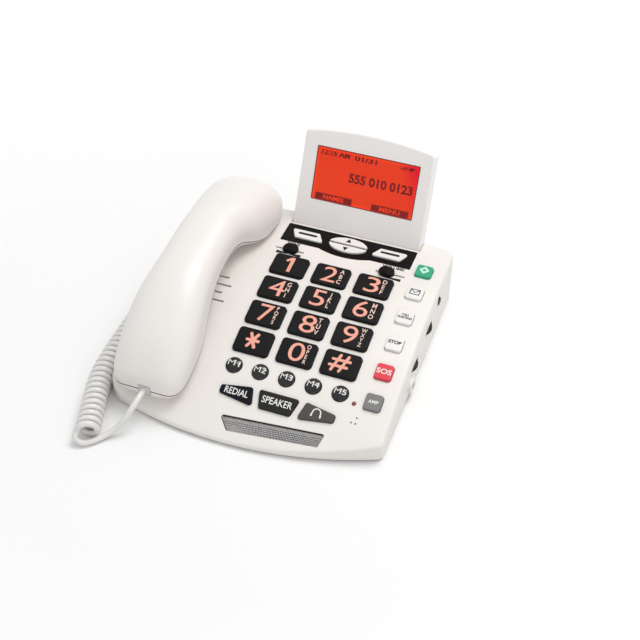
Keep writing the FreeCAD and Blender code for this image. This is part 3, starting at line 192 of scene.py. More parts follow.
class PhoneSizes(bpy.types.PropertyGroup):
    """Sizes of the prints and of the cord."""

    numeral: FloatProperty(name="Numeral height", description="Height of a key's numeral",
                           unit="LENGTH", min=0.004, max=0.014, default=0.0127)
    word: FloatProperty(name="Key word height", description="Height of a word on a line key",
                        unit="LENGTH", min=0.002, max=0.005, default=0.0042)
    turns: IntProperty(name="Cord turns", description="Turns in the curly cord",
                       min=10, max=36, default=34)
    bend: FloatProperty(name="Coil radius", description="Radius of the coil's wire line",
                        unit="LENGTH", min=0.004, max=0.007, default=0.0055)


def colours():
    return bpy.context.scene.phone_colours


def sizes():
    return bpy.context.scene.phone_sizes


# ------------------------------------------------------------------- materials


# a moulded face's patterns, in repeats to a metre, and the spread of its roughness
CLOUDS, GLOSS_PATCHES, SPARKS = 26, 90, 2600
GLOSS_SPREAD = 0.16


class Value:
    """An output socket; arithmetic on it adds the nodes."""

    def __init__(self, finish, socket):
        self.finish = finish
        self.socket = socket

    def maths(self, operation, *operands):
        return self.finish.node("ShaderNodeMath", {"operation": operation}, operands)

    def __add__(self, other):
        return self.maths("ADD", self, other)

    def __radd__(self, other):
        return self.maths("ADD", other, self)

    def __sub__(self, other):
        return self.maths("SUBTRACT", self, other)

    def __rsub__(self, other):
        return self.maths("SUBTRACT", other, self)

    def __mul__(self, other):
        return self.maths("MULTIPLY", self, other)

    def __rmul__(self, other):
        return self.maths("MULTIPLY", other, self)


class Finish:
    """A material under way: its nodes, and its Principled shader."""

    def __init__(self, name):
        self.material = bpy.data.materials.new(name)
        self.material.use_nodes = True
        self.tree = self.material.node_tree
        self.shader = self.tree.nodes["Principled BSDF"]

    def node(self, kind, settings=(), inputs=(), output=0):
        """A node with its settings made first, then its inputs set or linked."""
        made = self.tree.nodes.new(kind)
        for key, value in dict(settings).items():
            setattr(made, key, value)
        pairs = inputs.items() if isinstance(inputs, dict) else enumerate(inputs)
        for key, value in pairs:
            self.feed(made.inputs[key], value)
        return Value(self, made.outputs[output])

    def feed(self, socket, value):
        """Link a value to a socket, or set a constant on it."""
        if isinstance(value, Value):
            self.tree.links.new(value.socket, socket)
        elif socket.type == "RGBA" and len(value) == 3:
            socket.default_value = (*value, 1)
        else:
            socket.default_value = value

    def set(self, name, value):
        self.feed(self.shader.inputs[name], value)

    def places(self):
        return self.node("ShaderNodeTexCoord", output="Object")

    def noise(self, per_metre, detail=2.0):
        return self.node("ShaderNodeTexNoise", {},
                         {"Vector": self.places(), "Scale": per_metre, "Detail": detail}, "Fac")

    def mix(self, share, first, second):
        return self.node("ShaderNodeMix", {"data_type": "RGBA"},
                         {0: share, 6: first, 7: second}, 2)

    def bump(self, height, depth):
        return self.node("ShaderNodeBump", {}, {"Height": height, "Distance": depth,
                                                "Strength": 0.6})


def darker(colour, share):
    return tuple(part * share for part in colour)


def moulded(name, colour, roughness, grain=0.00002, shade=0.94, coat=0.0, shine=0.5):
    """Moulded plastic: faint clouding, a fine spark grain and uneven gloss."""
    finish = Finish(name)
    cloud = finish.noise(CLOUDS, 3)
    glossiest = roughness - GLOSS_SPREAD / 2
    finish.set("Base Color", finish.mix(cloud, darker(colour, shade), colour))
    finish.set("Roughness", finish.noise(GLOSS_PATCHES) * GLOSS_SPREAD + glossiest)
    finish.set("Normal", finish.bump(finish.noise(SPARKS, 1), grain))
    finish.set("Specular IOR Level", shine)
    finish.set("Coat Weight", coat)
    finish.set("Coat Roughness", 0.12)
    return finish.material


def ink(name, colour, second=None):
    """A printed legend, with a little unevenness of the ink."""
    finish = Finish(name)
    cloud = finish.noise(170, 2)
    finish.set("Base Color", finish.mix(cloud, colour, second or darker(colour, 0.9)))
    finish.set("Roughness", finish.noise(900) * 0.2 + 0.35)
    finish.set("Specular IOR Level", 0.25)
    return finish.material


def wire_metal():
    """Dull drawn wire of the speaker's screen."""
    finish = Finish("grille_wire")
    finish.set("Base Color", finish.mix(finish.noise(400), (0.62, 0.61, 0.61), (0.80, 0.79, 0.78)))
    finish.set("Metallic", 0.6)
    finish.set("Roughness", finish.noise(1500) * 0.2 + 0.3)
    return finish.material


def picture_glow():
    """The display's lit field: orange, and crimson towards its upper right corner."""
    finish = Finish("display_field")
    across = finish.node("ShaderNodeSeparateXYZ", {}, [finish.places()])
    upwards = Value(finish, across.socket.node.outputs["Z"])
    # the share of crimson grows by 90 a metre across, and by 40 upwards
    share = finish.node("ShaderNodeClamp", {}, [across * 90.0 + upwards * 40.0 - 6.9])
    red = colours().picture
    orange = finish.mix(finish.noise(30, 1), darker(red, 0.93), (red[0], red[1] * 1.5, red[2]))
    crimson = (red[0] * 0.90, red[1] * 0.25, red[2] * 1.5)
    field = finish.mix(share, orange, crimson)
    unlit = finish.mix(finish.noise(300), (0.02, 0.003, 0.002), (0.03, 0.004, 0.003))
    finish.set("Base Color", unlit)
    finish.set("Emission Color", field)
    finish.set("Emission Strength", 1.0)
    finish.set("Roughness", finish.noise(500) * 0.1 + 0.45)
    finish.set("Specular IOR Level", 0.05)
    return finish.material


def clear(name, colour, alpha, roughness):
    """Clear plastic; a low alpha lets more through."""
    finish = Finish(name)
    finish.set("Base Color", colour)
    finish.set("Roughness", finish.noise(120) * 0.06 + roughness)
    finish.set("Specular IOR Level", 0.3)
    finish.set("Alpha", alpha)
    return finish.material


def circuit_board():
    """Green board with paler tracks."""
    finish = Finish("board_green")
    tracks = finish.node("ShaderNodeTexBrick", {}, {
        "Vector": finish.places(), "Scale": 160.0, "Color1": (0.01, 0.14, 0.05, 1),
        "Color2": (0.015, 0.17, 0.06, 1), "Mortar": (0.03, 0.25, 0.1, 1)}, "Color")
    finish.set("Base Color", tracks)
    finish.set("Roughness", finish.noise(300) * 0.2 + 0.3)
    return finish.material


FINISHES = {}


def make_finishes():
    tones = colours()
    near_white = (0.80, 0.79, 0.77)
    FINISHES.update({
        "case": moulded("case_plastic", tones.case, 0.42),
        "case_lower": moulded("case_lower_plastic", darker(tones.case, 0.92), 0.5),
        "handset_case": moulded("handset_plastic", tones.handset, 0.36, 0.00001),
        "display_case": moulded("display_plastic", tones.display, 0.42),
        "panel_black": moulded("panel_gloss", (0.003, 0.003, 0.003), 0.4, 0.000003, 0.7,
                               shine=0.1),
        "key_black": moulded("dial_plastic", tones.dial, 0.45, 0.00002, 0.6, shine=0.12),
        "memory": moulded("memory_gloss", (0.002, 0.002, 0.003), 0.17, 0.000002, 0.7, 0.15,
                          shine=0.4),
        "redial_black": moulded("redial_plastic", (0.004, 0.005, 0.010), 0.45, shine=0.12),
        "speaker_black": moulded("speaker_key_plastic", (0.020, 0.020, 0.017), 0.45, shine=0.12),
        "key_white": moulded("white_key_plastic", near_white, 0.4),
        "key_grey": moulded("amplify_plastic", (0.20, 0.198, 0.195), 0.42, shine=0.3),
        "key_dark_grey": moulded("headset_plastic", (0.075, 0.070, 0.062), 0.45, shine=0.2),
        "control_black": moulded("control_plastic", (0.012, 0.012, 0.013), 0.42, shine=0.3),
        "key_green": moulded("green_plastic", tones.signal, 0.36, shine=0.35),
        "key_red": moulded("alarm_plastic", tones.alarm, 0.36, shine=0.35),
        "grille_metal": wire_metal(),
        "lcd": picture_glow(),
        "lens": clear("window_clear", (0.02, 0.02, 0.02), 0.05, 0.04),
        "led": moulded("lamp_red", (0.25, 0.01, 0.008), 0.2, 0.000002, 0.8, 0.5),
        "rubber_mat": moulded("mat_rubber", (0.32, 0.33, 0.34), 0.7),
        "foot_rubber": moulded("foot_rubber", (0.03, 0.03, 0.03), 0.8, 0.00005),
        "board": circuit_board(),
        "component": moulded("component_plastic", (0.02, 0.02, 0.022), 0.45),
        "socket": moulded("socket_plastic", (0.42, 0.41, 0.40), 0.45),
        "capsule": moulded("capsule_metal", (0.3, 0.3, 0.31), 0.4),
        "cord": moulded("cord_vinyl", (0.76, 0.745, 0.72), 0.3, 0.00001, 0.93, 0.1),
        "plug": clear("plug_clear", (0.80, 0.80, 0.80), 0.7, 0.08),
        "numeral_ink": ink("numeral_ink", tones.numerals, (0.85, 0.44, 0.34)),
        "letter_ink": ink("letter_ink", (0.86, 0.62, 0.52)),
        "white_ink": ink("white_ink", (0.82, 0.82, 0.80)),
        "mint_ink": ink("mint_ink", (0.55, 0.88, 0.70)),
        "black_ink": ink("black_ink", (0.008, 0.008, 0.009)),
        "picture_dark": ink("picture_segments", (0.28, 0.010, 0.010), (0.20, 0.006, 0.008)),
        # dark print for the display's rim, and also painted contact shade along the handset's
        # parting line
        "rim_print_and_seam_shade": ink("rim_print_and_seam_shade", (0.10, 0.035, 0.030)),
    })


# ---------------------------------------------------------------- small makers


def add(name, mesh, finish, body):
    """A finished mesh becomes a piece that rides on a body."""
    mesh.materials.clear()
    mesh.materials.append(FINISHES[finish])
    piece = bpy.data.objects.new(name, mesh)
    bpy.context.scene.collection.objects.link(piece)
    if body:
        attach(piece, body)
    return piece


def mesh_of(name, shape):
    """The mesh of a bmesh, which is then free."""
    mesh = bpy.data.meshes.new(name)
    shape.to_mesh(mesh)
    shape.free()
    return mesh


def mark(name, shape, place, finish, body):
    """Plates drawn on the local plane, carried to their place."""
    bmesh.ops.recalc_face_normals(shape, faces=shape.faces)
    bmesh.ops.transform(shape, matrix=place, verts=shape.verts)
    return add(name, mesh_of(name, shape), finish, body)


def deck_place(x, arc, lift=0.0):
    """A spot on the deck: X across, Y up the slope, Z out of it, in metres."""
    turn = arc / DECK_R
    spot = Vector((x, CROWN_Y + (DECK_R + lift) * math.sin(turn),
                   CROWN_Z - DECK_R + (DECK_R + lift) * math.cos(turn)))
    return Matrix.Translation((spot - DRAWING) * MM) @ Matrix.Rotation(-turn, 4, "X")


def face_place(x, height, lift=0.0):
    """A spot on the display's picture, from its middle."""
    tilt = math.radians(DISPLAY_TILT)
    normal = Vector((0, -math.sin(tilt), math.cos(tilt)))
    along = Vector((0, math.cos(tilt), math.sin(tilt)))
    axis = DISPLAY - normal * (DISPLAY_T / 2) - along * DISPLAY_SINK
    spot = axis + along * (WINDOW.y + height) + normal * (PICTURE_Z + lift)
    spot.x += WINDOW.x + x
    return Matrix.Translation((spot - DRAWING) * MM) @ Matrix.Rotation(tilt, 4, "X")


def key_top(x, arc, proud, up=0.0):
    """A print's place on a key, moved up the key's own face."""
    return deck_place(x, arc, proud + INK / 2) @ Matrix.Translation((0, up * MM, 0))


def plate(shape, x, y, width, length, turn=0.0, taper=1.0):
    """A thin plate on the local XY plane; taper narrows its right end."""
    made = bmesh.ops.create_cube(shape, size=1.0)
    for vert in made["verts"]:
        if vert.co.x > 0:
            vert.co.y *= taper
    place = (Matrix.Translation((x * MM, y * MM, 0)) @ Matrix.Rotation(turn, 4, "Z")
             @ Matrix.Diagonal((width * MM, length * MM, INK * MM, 1)))
    bmesh.ops.transform(shape, matrix=place, verts=made["verts"])


def bar(shape, x, y, length, width, turn=0.0, lift=0.0):
    """A thin bar with round ends on the local XY plane; a lift keeps crossings clean."""
    made = bmesh.ops.create_circle(shape, cap_ends=True, segments=14, radius=width / 2 * MM)
    for vert in made["verts"]:
        vert.co.x += math.copysign((length - width) / 2 * MM, vert.co.x)
    place = Matrix.Translation((x * MM, y * MM, lift * MM)) @ Matrix.Rotation(turn, 4, "Z")
    bmesh.ops.transform(shape, matrix=place, verts=made["verts"])
    bmesh.ops.solidify(shape, geom=made["verts"][0].link_faces[:], thickness=INK * MM)


def half_ring(shape, radius, wide, y):
    """A flat arch, open at its foot, in an empty shape."""
    corner = wide * 0.7071      # from a square's middle to its corner
    made = bmesh.ops.create_circle(shape, segments=4, radius=corner * MM)
    stand = (Matrix.Translation((radius * MM, 0, 0)) @ Matrix.Rotation(math.pi / 2, 4, "X")
             @ Matrix.Diagonal((1, INK / wide, 1, 1)) @ Matrix.Rotation(math.pi / 4, 4, "Z"))
    bmesh.ops.transform(shape, matrix=stand, verts=made["verts"])
    bmesh.ops.spin(shape, geom=made["verts"] + shape.edges[:], cent=(0, 0, 0), axis=(0, 0, 1),
                   angle=math.pi, steps=14)
    bmesh.ops.holes_fill(shape, edges=shape.edges)
    bmesh.ops.translate(shape, verts=shape.verts, vec=(0, y * MM, 0))


def letters(name, words, place, finish, body, height, width=None, bold=0.0, narrow=1.0,
            dome=None, rise=0.0):
    """Lettering fitted about its middle to a height, and to a width if given, flat or domed."""
    text = bpy.data.curves.new(name, "FONT")
    text.body = words
    text.resolution_u = 4
    text.align_x = "CENTER"
    text.space_line = 0.9
    text.offset = bold
    text.extrude = LETTER_DEPTH / 2
    stand_in = bpy.data.objects.new(name, text)
    bpy.context.scene.collection.objects.link(stand_in)
    bpy.context.view_layer.update()
    mesh = bpy.data.meshes.new_from_object(
        stand_in.evaluated_get(bpy.context.evaluated_depsgraph_get()))
    bpy.data.objects.remove(stand_in)
    shape = bmesh.new()
    shape.from_mesh(mesh)
    bmesh.ops.remove_doubles(shape, verts=shape.verts, dist=1e-5)
    xs = [vert.co.x for vert in shape.verts]
    ys = [vert.co.y for vert in shape.verts]
    span_x, span_y = max(xs) - min(xs), max(ys) - min(ys)
    scale_y = height / span_y
    scale_x = width / span_x if width else scale_y * narrow
    middle = Vector(((max(xs) + min(xs)) / 2, (max(ys) + min(ys)) / 2, 0))
    bmesh.ops.translate(shape, verts=shape.verts, vec=-middle)
    bmesh.ops.scale(shape, verts=shape.verts, vec=(scale_x, scale_y, INK * MM / LETTER_DEPTH))
    if dome:
        bmesh.ops.translate(shape, verts=shape.verts, vec=(0, rise * MM, 0))
        bmesh.ops.triangulate(shape, faces=shape.faces)
        bmesh.ops.subdivide_edges(shape, edges=shape.edges, cuts=1)
        for vert in shape.verts:
            reach = vert.co.x ** 2 + vert.co.y ** 2
            vert.co.z += math.sqrt((dome * MM) ** 2 - reach) - dome * MM
    bmesh.ops.transform(shape, matrix=place, verts=shape.verts)
    return add(name, mesh_of(name, shape), finish, body)


def body_of(node):
    """The body that a CAD node rides on."""
    return frame["nodes"][node]["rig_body"]


def skin(node, finish):
    """A smooth copy of a CAD piece, which stands in its place."""
    shape = bmesh.new()
    shape.from_mesh(frame["nodes"][node].data)
    bmesh.ops.remove_doubles(shape, verts=shape.verts, dist=MERGE)
    for face in shape.faces:
        face.smooth = True
    for edge in shape.edges:
        edge.smooth = edge.calc_face_angle(math.pi) < math.radians(CREASE)
    mesh = mesh_of(node + "_skin", shape)
    if "custom_normal" in mesh.attributes:
        mesh.attributes.remove(mesh.attributes["custom_normal"])
    piece = add(node + "_skin", mesh, finish, body_of(node))
    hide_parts(node)
    return piece


# -------------------------------------------------------------------- the stage


def place_camera():
    """The view from the front right, above the desk."""
    data = bpy.data.cameras.new("camera")
    data.sensor_width = SENSOR
    data.lens = LENS
    camera = bpy.data.objects.new("camera", data)
    bpy.context.scene.collection.objects.link(camera)
    back = CAMERA_RIGHT.cross(CAMERA_UP)
    turn = Matrix((CAMERA_RIGHT, CAMERA_UP, back)).transposed().to_4x4()
    camera.matrix_world = Matrix.Translation((CAMERA - DRAWING) * MM) @ turn
    bpy.context.scene.camera = camera


def lamp(name, spot, aim, size, watts):
    """A square lamp that faces a spot."""
    data = bpy.data.lights.new(name, "AREA")
    data.size = size
    data.energy = watts
    light = bpy.data.objects.new(name, data)
    bpy.context.scene.collection.objects.link(light)
    light.location = spot
    light.rotation_euler = (Vector(aim) - Vector(spot)).to_track_quat("-Z", "Y").to_euler()


def seen_directly(tree):
    """One where the camera, a reflection or clear plastic sees a surface."""
    path = tree.nodes.new("ShaderNodeLightPath")
    ways = [path.outputs[way] for way in ("Is Camera Ray", "Is Glossy Ray", "Is Transmission Ray")]
    total = ways[0]
    for way in ways[1:]:
        larger = tree.nodes.new("ShaderNodeMath")
        larger.operation = "MAXIMUM"
        tree.links.new(total, larger.inputs[0])
        tree.links.new(way, larger.inputs[1])
        total = larger.outputs[0]
    return total


def make_stage():
    """The floor, a white surround and soft lamps."""
    shape = bmesh.new()
    bmesh.ops.create_grid(shape, x_segments=1, y_segments=1, size=4.0)
    floor = bpy.data.objects.new("floor", mesh_of("floor", shape))
    bpy.context.scene.collection.objects.link(floor)
    finish = Finish("floor_paper")
    direct = Value(finish, seen_directly(finish.tree))
    finish.set("Base Color", finish.mix(direct, (0.78, 0.78, 0.78), (0.88, 0.88, 0.88)))
    # the floor glows more from 0.2 m out, until it meets the white surround unseen
    reach = finish.node("ShaderNodeVectorMath", {"operation": "LENGTH"}, [finish.places()], 1)
    far = finish.node("ShaderNodeClamp", {}, [reach * 0.8 - 0.16])
    finish.set("Emission Color", finish.mix(direct * far, (0, 0, 0), (0.4, 0.4, 0.4)))
    finish.set("Emission Strength", 1.0)
    finish.set("Roughness", 0.95)
    finish.set("Specular IOR Level", 0.0)
    floor.data.materials.append(finish.material)

    world = bpy.data.worlds.new("surround")
    bpy.context.scene.world = world
    world.use_nodes = True
    tree = world.node_tree
    soft = tree.nodes["Background"]
    soft.inputs["Color"].default_value = (1, 1, 1, 1)
    soft.inputs["Strength"].default_value = 0.68
    white = tree.nodes.new("ShaderNodeBackground")
    white.inputs["Color"].default_value = (1, 1, 1, 1)
    either = tree.nodes.new("ShaderNodeMixShader")
    tree.links.new(seen_directly(tree), either.inputs[0])
    tree.links.new(soft.outputs[0], either.inputs[1])
    tree.links.new(white.outputs[0], either.inputs[2])
    tree.links.new(either.outputs[0], tree.nodes["World Output"].inputs["Surface"])

    lamp("overhead", (0.35, 0.5, 1.5), (0, 0, 0), 0.8, 13)
    lamp("front_fill", (0.5, -1.4, 0.55), (0, 0, 0.05), 0.9, 2.5)
    bpy.context.scene.view_settings.view_transform = "Standard"


# ------------------------------------------------------------------- the pieces


# the finish of each CAD piece: in view, inside, and of the keys that differ from the dial's
OUTER = {
    "base_upper_shell": "case", "base_lower_shell": "case_lower",
    "softkey_panel": "panel_black", "status_led": "led", "rubber_feet": "foot_rubber",
    "hook_plunger": "key_white", "tone_slider": "key_black", "volume_slider": "key_black",
    "ringer_volume_wheel": "control_black", "ringer_tone_wheel": "control_black",
    "side_switch": "control_black", "display_frame": "display_case",
    "display_back": "display_case", "display_lens": "lens", "lcd_module": "lcd",
    "handset_back": "handset_case", "handset_face": "handset_case",
    "sockets": "socket",
}
INNER = {
    "main_board": "board", "key_mat": "rubber_mat", "control_pots": "component",
    "loudspeaker": "component", "receiver": "capsule", "microphone": "capsule",
}
KEY_FINISHES = {
    "redial_key": "redial_black", "speaker_key": "speaker_black", "headset_key": "key_dark_grey",
    "flash_key": "key_green", "sos_key": "key_red", "amplify_key": "key_grey",
    "message_key": "key_white", "call_waiting_key": "key_white", "stop_key": "key_white",
    "softkey_left": "key_white", "softkey_right": "key_white",
    "scroll_up_key": "key_white", "scroll_down_key": "key_white",
}
DIAL = [["key_1", "key_2", "key_3"], ["key_4", "key_5", "key_6"],
        ["key_7", "key_8", "key_9"], ["key_star", "key_0", "key_hash"]]
# a dial sign's offset from its key's middle, and its width; the hash has its leaning bars' length
NUMERALS = {"key_1": (-0.6, 5.3), "key_2": (-0.8, 9.4), "key_3": (-0.7, 9.2),
            "key_4": (-0.3, 10.0), "key_5": (-1.1, 9.0), "key_6": (-1.1, 9.4),
            "key_7": (-0.2, 9.0), "key_8": (-0.2, 9.8), "key_9": (-1.4, 9.3),
            "key_star": (-0.6, 9.2), "key_0": (-0.1, 10.0), "key_hash": (-0.6, 13.0)}
DIAL_WORDS = {"key_2": "ABC", "key_3": "DEF", "key_4": "GHI", "key_5": "JKL", "key_6": "MNO",
              "key_7": "PQRS", "key_8": "TUV", "key_9": "WXYZ", "key_0": "OPER"}


def dress_cases():
    """Smooth skins for what is in view; a finish alone for what is inside."""
    for node, finish in OUTER.items():
        skin(node, finish)
    for node, finish in INNER.items():
        for row in frame["nodes"][node].material_slots:
            row.material = FINISHES[finish]


def handset_seam_and_shade():
    """A dark band at the handset's parting line, on the face's outer edge: partly the real dark
    joint of the two shells, partly painted shade for the contact shadow against the deck.
    """
    low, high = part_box("handset_face")
    middle = (low + high) / 2
    level = 0.6             # a face's normal rises more on the rim, and less on a wall
    length_share = 0.2      # the handset is long in Y, which counts less in what is outward
    source = bmesh.new()
    source.from_mesh(frame["nodes"]["handset_face"].data)
    bmesh.ops.remove_doubles(source, verts=source.verts, dist=MERGE)
    source.normal_update()
    walls, edges = {}, []
    for edge in source.edges:
        if len(edge.link_faces) != 2:
            continue
        wall, top = sorted(edge.link_faces, key=lambda face: face.normal.z)
        place = (edge.verts[0].co + edge.verts[1].co) / 2 - middle
        outward = place.x * wall.normal.x + length_share * place.y * wall.normal.y > 0
        if top.normal.z > level and abs(wall.normal.z) < level and outward:
            edges.append(edge)
            for vert in edge.verts:
                walls.setdefault(vert, []).append(wall.normal.copy())
    shape, rims = bmesh.new(), {}
    for vert, normals in walls.items():
        out = sum(normals, Vector()).normalized()
        down = (out * out.z - Vector((0, 0, 1))).normalized()
        rims[vert] = [shape.verts.new(vert.co + out * INK * MM + down * drop * MM)
                      for drop in (0.0, SEAM_AND_SHADE_WIDTH)]
    for edge in edges:
        first, second = (rims[vert] for vert in edge.verts)
        shape.faces.new((first[0], first[1], second[1], second[0]))
    bmesh.ops.recalc_face_normals(shape, faces=shape.faces)
    bmesh.ops.solidify(shape, geom=shape.faces[:], thickness=INK * MM)
    source.free()
    # painted shade: a dark band where the handset meets the deck, on its parting line
    mark("handset_seam_and_shade", shape, Matrix(), "rim_print_and_seam_shade", "handset")


def dress_keys():
    """A skin for every key; each is a body named as its node is."""
    for body in frame["bodies"]:
        if body not in frame["nodes"] or body in OUTER:
            continue
        finish = KEY_FINISHES.get(body, "memory" if body.startswith("memory") else "key_black")
        skin(body, finish)


def draw_one(shape, wide):
    """The 1: an upright stem, and a slanted flag at its top."""
    tall, stem = sizes().numeral / MM, 2.3
    flag, stroke, slant = 4.9, 2.0, 0.75
    plate(shape, (wide - stem) / 2, 0, stem, tall)
    bar(shape, -0.6, tall / 2 - 2.2, flag, stroke, slant, CROSSING)


def draw_star(shape, wide):
    """Three bars through one middle, each lifted a little by its turn."""
    slant, long, stroke = 1.1, 12.0, 2.1
    for turn, reach in ((0.0, wide), (slant, long), (-slant, long)):
        bar(shape, 0, 0, reach, stroke, turn, turn * 0.01)


def draw_hash(shape, wide):
    """Two leaning bars over two level ones, which follow the lean."""
    stroke, lean, level = 1.9, 1.28, 12.6
    for side in (-1, 1):
        bar(shape, side * 2.5, 0, wide, stroke, lean, CROSSING)
        bar(shape, side * 0.5, side * 2.1, level, stroke)


# signs that are drawn with bars, and the ends of their pieces' names
DRAWN = {"key_1": (draw_one, "_numeral"), "key_star": (draw_star, "_sign"),
         "key_hash": (draw_hash, "_sign")}


def dial_legends():
    """Numerals and signs, with the letters stacked at the right."""
    for row, names in enumerate(DIAL):
        for column, node in enumerate(names):
            x, arc = DIAL_X + (column - 1) * COLUMN, ROW_ARC - row * ROW_PITCH
            off, wide = NUMERALS[node]
            place = key_top(x + off, arc, DIAL_TOP, NUMERAL_UP)
            if node in DRAWN:
                draw, ending = DRAWN[node]
                shape = bmesh.new()
                draw(shape, wide)
                mark(node + ending, shape, place, "numeral_ink", node)
            else:
                letters(node + "_numeral", node[-1], place, "numeral_ink", node,
                        height=sizes().numeral, width=wide * MM)
            if node in DIAL_WORDS:
                word = DIAL_WORDS[node]
                letters(node + "_letters", "\n".join(word),
                        key_top(x + STACK_X, arc, DIAL_TOP, NUMERAL_UP), "letter_ink", node,
                        height=(STACK_H + len(word)) * MM, bold=0.015, narrow=0.85)


def memory_legends():
    """M1 to M5, on their domed keys."""
    for number in range(5):
        node = "memory_key_%d" % (number + 1)
        x = MEMORY_X + (number - 2) * MEMORY_PITCH
        letters(node + "_word", "M%d" % (number + 1), key_top(x, MEMORY_ARC, MEMORY_TOP),
                "white_ink", node, height=3.7 * MM, width=7.4 * MM, dome=MEMORY_DOME_R, rise=0.8)


def line_legends():
    """Two words, and the headset's sign: a band, its arms and its ear pads."""
    word = sizes().word
    left, middle, right = LINE_X - 25.4, LINE_X + 0.3, LINE_X + 24.9
    letters("redial_word", "REDIAL", key_top(left, LINE_ARC, LINE_TOP, 0.1), "white_ink",
            "redial_key", height=word, width=14.9 * MM, bold=0.01)
    letters("speaker_word", "SPEAKER", key_top(middle, LINE_ARC, LINE_TOP, 0.4), "white_ink",
            "speaker_key", height=word * 1.05, width=18.9 * MM, bold=0.01)
    shape = bmesh.new()
    half_ring(shape, 2.5, 0.7, -0.1)
    for side in (-1, 1):
        lean = math.pi / 2 + side * 0.12
        bar(shape, side * 2.65, -1.35, 3.2, 0.8, lean)
        bar(shape, side * 2.75, -1.9, 1.8, 1.1, lean, CROSSING)
    mark("headset_sign", shape, key_top(right, LINE_ARC, LINE_TOP, 0.7), "white_ink",
         "headset_key")


def side_place(number, rise):
    """A print's place on a key of the right-hand column, counted from the rear."""
    arc = ROW_ARC + ROW_PITCH + SIDE_RISE - number * ROW_PITCH
    return key_top(SIDE_X, arc, DIAL_TOP, rise)


def side_legends():
    """A square on its corner, an envelope, and the words under them."""
    out = 1.7                   # from the square's middle to each side
    shape = bmesh.new()
    for turn in range(4):
        angle = math.pi / 4 + turn * math.pi / 2
        bar(shape, out * math.cos(angle), out * math.sin(angle), 4.9, 1.5, angle + math.pi / 2,
            turn % 2 * CROSSING)
    mark("flash_sign", shape, side_place(0, 0.5), "mint_ink", "flash_key")
    shape = bmesh.new()
    for side in (-1, 1):
        bar(shape, 0, side * 2.05, 6.4, 0.65)
        bar(shape, side * 2.9, 0, 4.7, 0.65, math.pi / 2, CROSSING)
        bar(shape, side * 1.4, 0.7, 3.9, 0.5, side * 0.75, CROSSING / 2)
    mark("message_sign", shape, side_place(1, 0.5), "black_ink", "message_key")
    letters("call_word", "CALL", side_place(2, 1.5), "black_ink", "call_waiting_key",
            height=1.7 * MM, width=4.8 * MM, bold=0.04)
    letters("waiting_word", "WAITING", side_place(2, -0.8), "black_ink", "call_waiting_key",
            height=1.8 * MM, width=9.2 * MM, bold=0.04)
    letters("stop_word", "STOP", side_place(3, 0.6), "black_ink", "stop_key",
            height=2.5 * MM, width=8.2 * MM, bold=0.04)
    letters("sos_word", "SOS", side_place(4, 0.1), "white_ink", "sos_key",
            height=3.5 * MM, width=9.2 * MM, bold=0.02)
    letters("amplify_word", "AMP", side_place(5, 0.0), "white_ink", "amplify_key",
            height=2.2 * MM, width=6.2 * MM, bold=0.02)


def panel_legends():
    """Dashes on the two soft keys, and arrows on the scroll keys."""
    for node, side in (("softkey_left", -1), ("softkey_right", 1)):
        shape = bmesh.new()
        bar(shape, 0, 0, 13.0, 2.1)
        place = key_top(PANEL_X + side * SOFT_OFF, SOFT_ARC, SOFT_TOP, 0.5)
        mark(node + "_dash", shape, place, "black_ink", node)
    for node, side in (("scroll_up_key", 1), ("scroll_down_key", -1)):
        shape = bmesh.new()
        bmesh.ops.create_circle(shape, cap_ends=True, segments=3, radius=2.5 * MM)
        bmesh.ops.solidify(shape, geom=shape.faces[:], thickness=INK * MM)
        bmesh.ops.scale(shape, vec=(0.86, side, 1), verts=shape.verts)
        place = key_top(PANEL_X - 0.8, SCROLL_ARC, SOFT_TOP, side * SCROLL_OFF)
        mark(node + "_arrow", shape, place, "black_ink", node)


def deck_prints():
    """Words and wedges by the two sliders."""
    for name, word, x, wide in (("tone", "TONE", -14.2, 9.0), ("volume", "VOLUME", 53.6, 14.6)):
        letters(name + "_word", word, deck_place(x, 1.2, INK), "black_ink", "base",
                height=2.3 * MM, width=wide * MM, bold=0.03)
    shape = bmesh.new()
    for side in (-1, 1):
        plate(shape, side * 4.1, 0, 8.4, 2.7, 0.0 if side < 0 else math.pi, 0.2)
    mark("tone_wedge", shape, deck_place(-14.0, -8.9, INK / 2), "black_ink", "base")
    shape = bmesh.new()
    plate(shape, 0, 0, 14.4, 2.4, math.pi, 0.12)
    mark("volume_wedge", shape, deck_place(54.2, -8.8, INK / 2), "black_ink", "base")


def slider_ribs():
    """Finger ribs across each slider's crown, shorter where its ends are round."""
    end_r = KNOB_HALF_L - KNOB_EDGE
    for node in ("tone_slider", "volume_slider"):
        low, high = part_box(node)
        x = (low.x + high.x) / 2 / MM + DRAWING.x
        shape = bmesh.new()
        for number in range(RIBS):
            off = (number - RIBS // 2) * RIB_PITCH
            drop = KNOB_CROWN_R - math.sqrt(KNOB_CROWN_R ** 2 - off ** 2)
            past = max(0.0, abs(off) - (KNOB_HALF_W - end_r))
            reach = math.sqrt(end_r ** 2 - past ** 2) - RIB_SHORT
            made = bmesh.ops.create_cube(shape, size=1.0)
            place = (Matrix.Translation((off * MM, 0, (KNOB_H - drop) * MM))
                     @ Matrix.Diagonal((RIB_W * MM, 2 * reach * MM, RIB_H * MM, 1)))
            bmesh.ops.transform(shape, matrix=place, verts=made["verts"])
        bmesh.ops.bevel(shape, geom=shape.edges[:], offset=0.1 * MM, segments=1, profile=0.5,
                        affect="EDGES", material=-1)
        mark(node + "_ribs", shape, deck_place(x, SLIDER_ARC), "key_black", node)


def picture_border(name, finish, inset, wide):
    """A frame on the window, from its edge inwards: a dark print, or a painted glow in the
    display's finish.
    """
    shape = bmesh.new()
    across, tall = WINDOW_W - 2 * inset, WINDOW_L - 2 * inset
    for side in (-1, 1):
        plate(shape, side * (across - wide) / 2, 0, wide, tall)
        plate(shape, 0, side * (tall - wide) / 2, across - 2 * wide, wide)
    mark(name, shape, face_place(0, 0, LENS_FRONT), finish, "display")


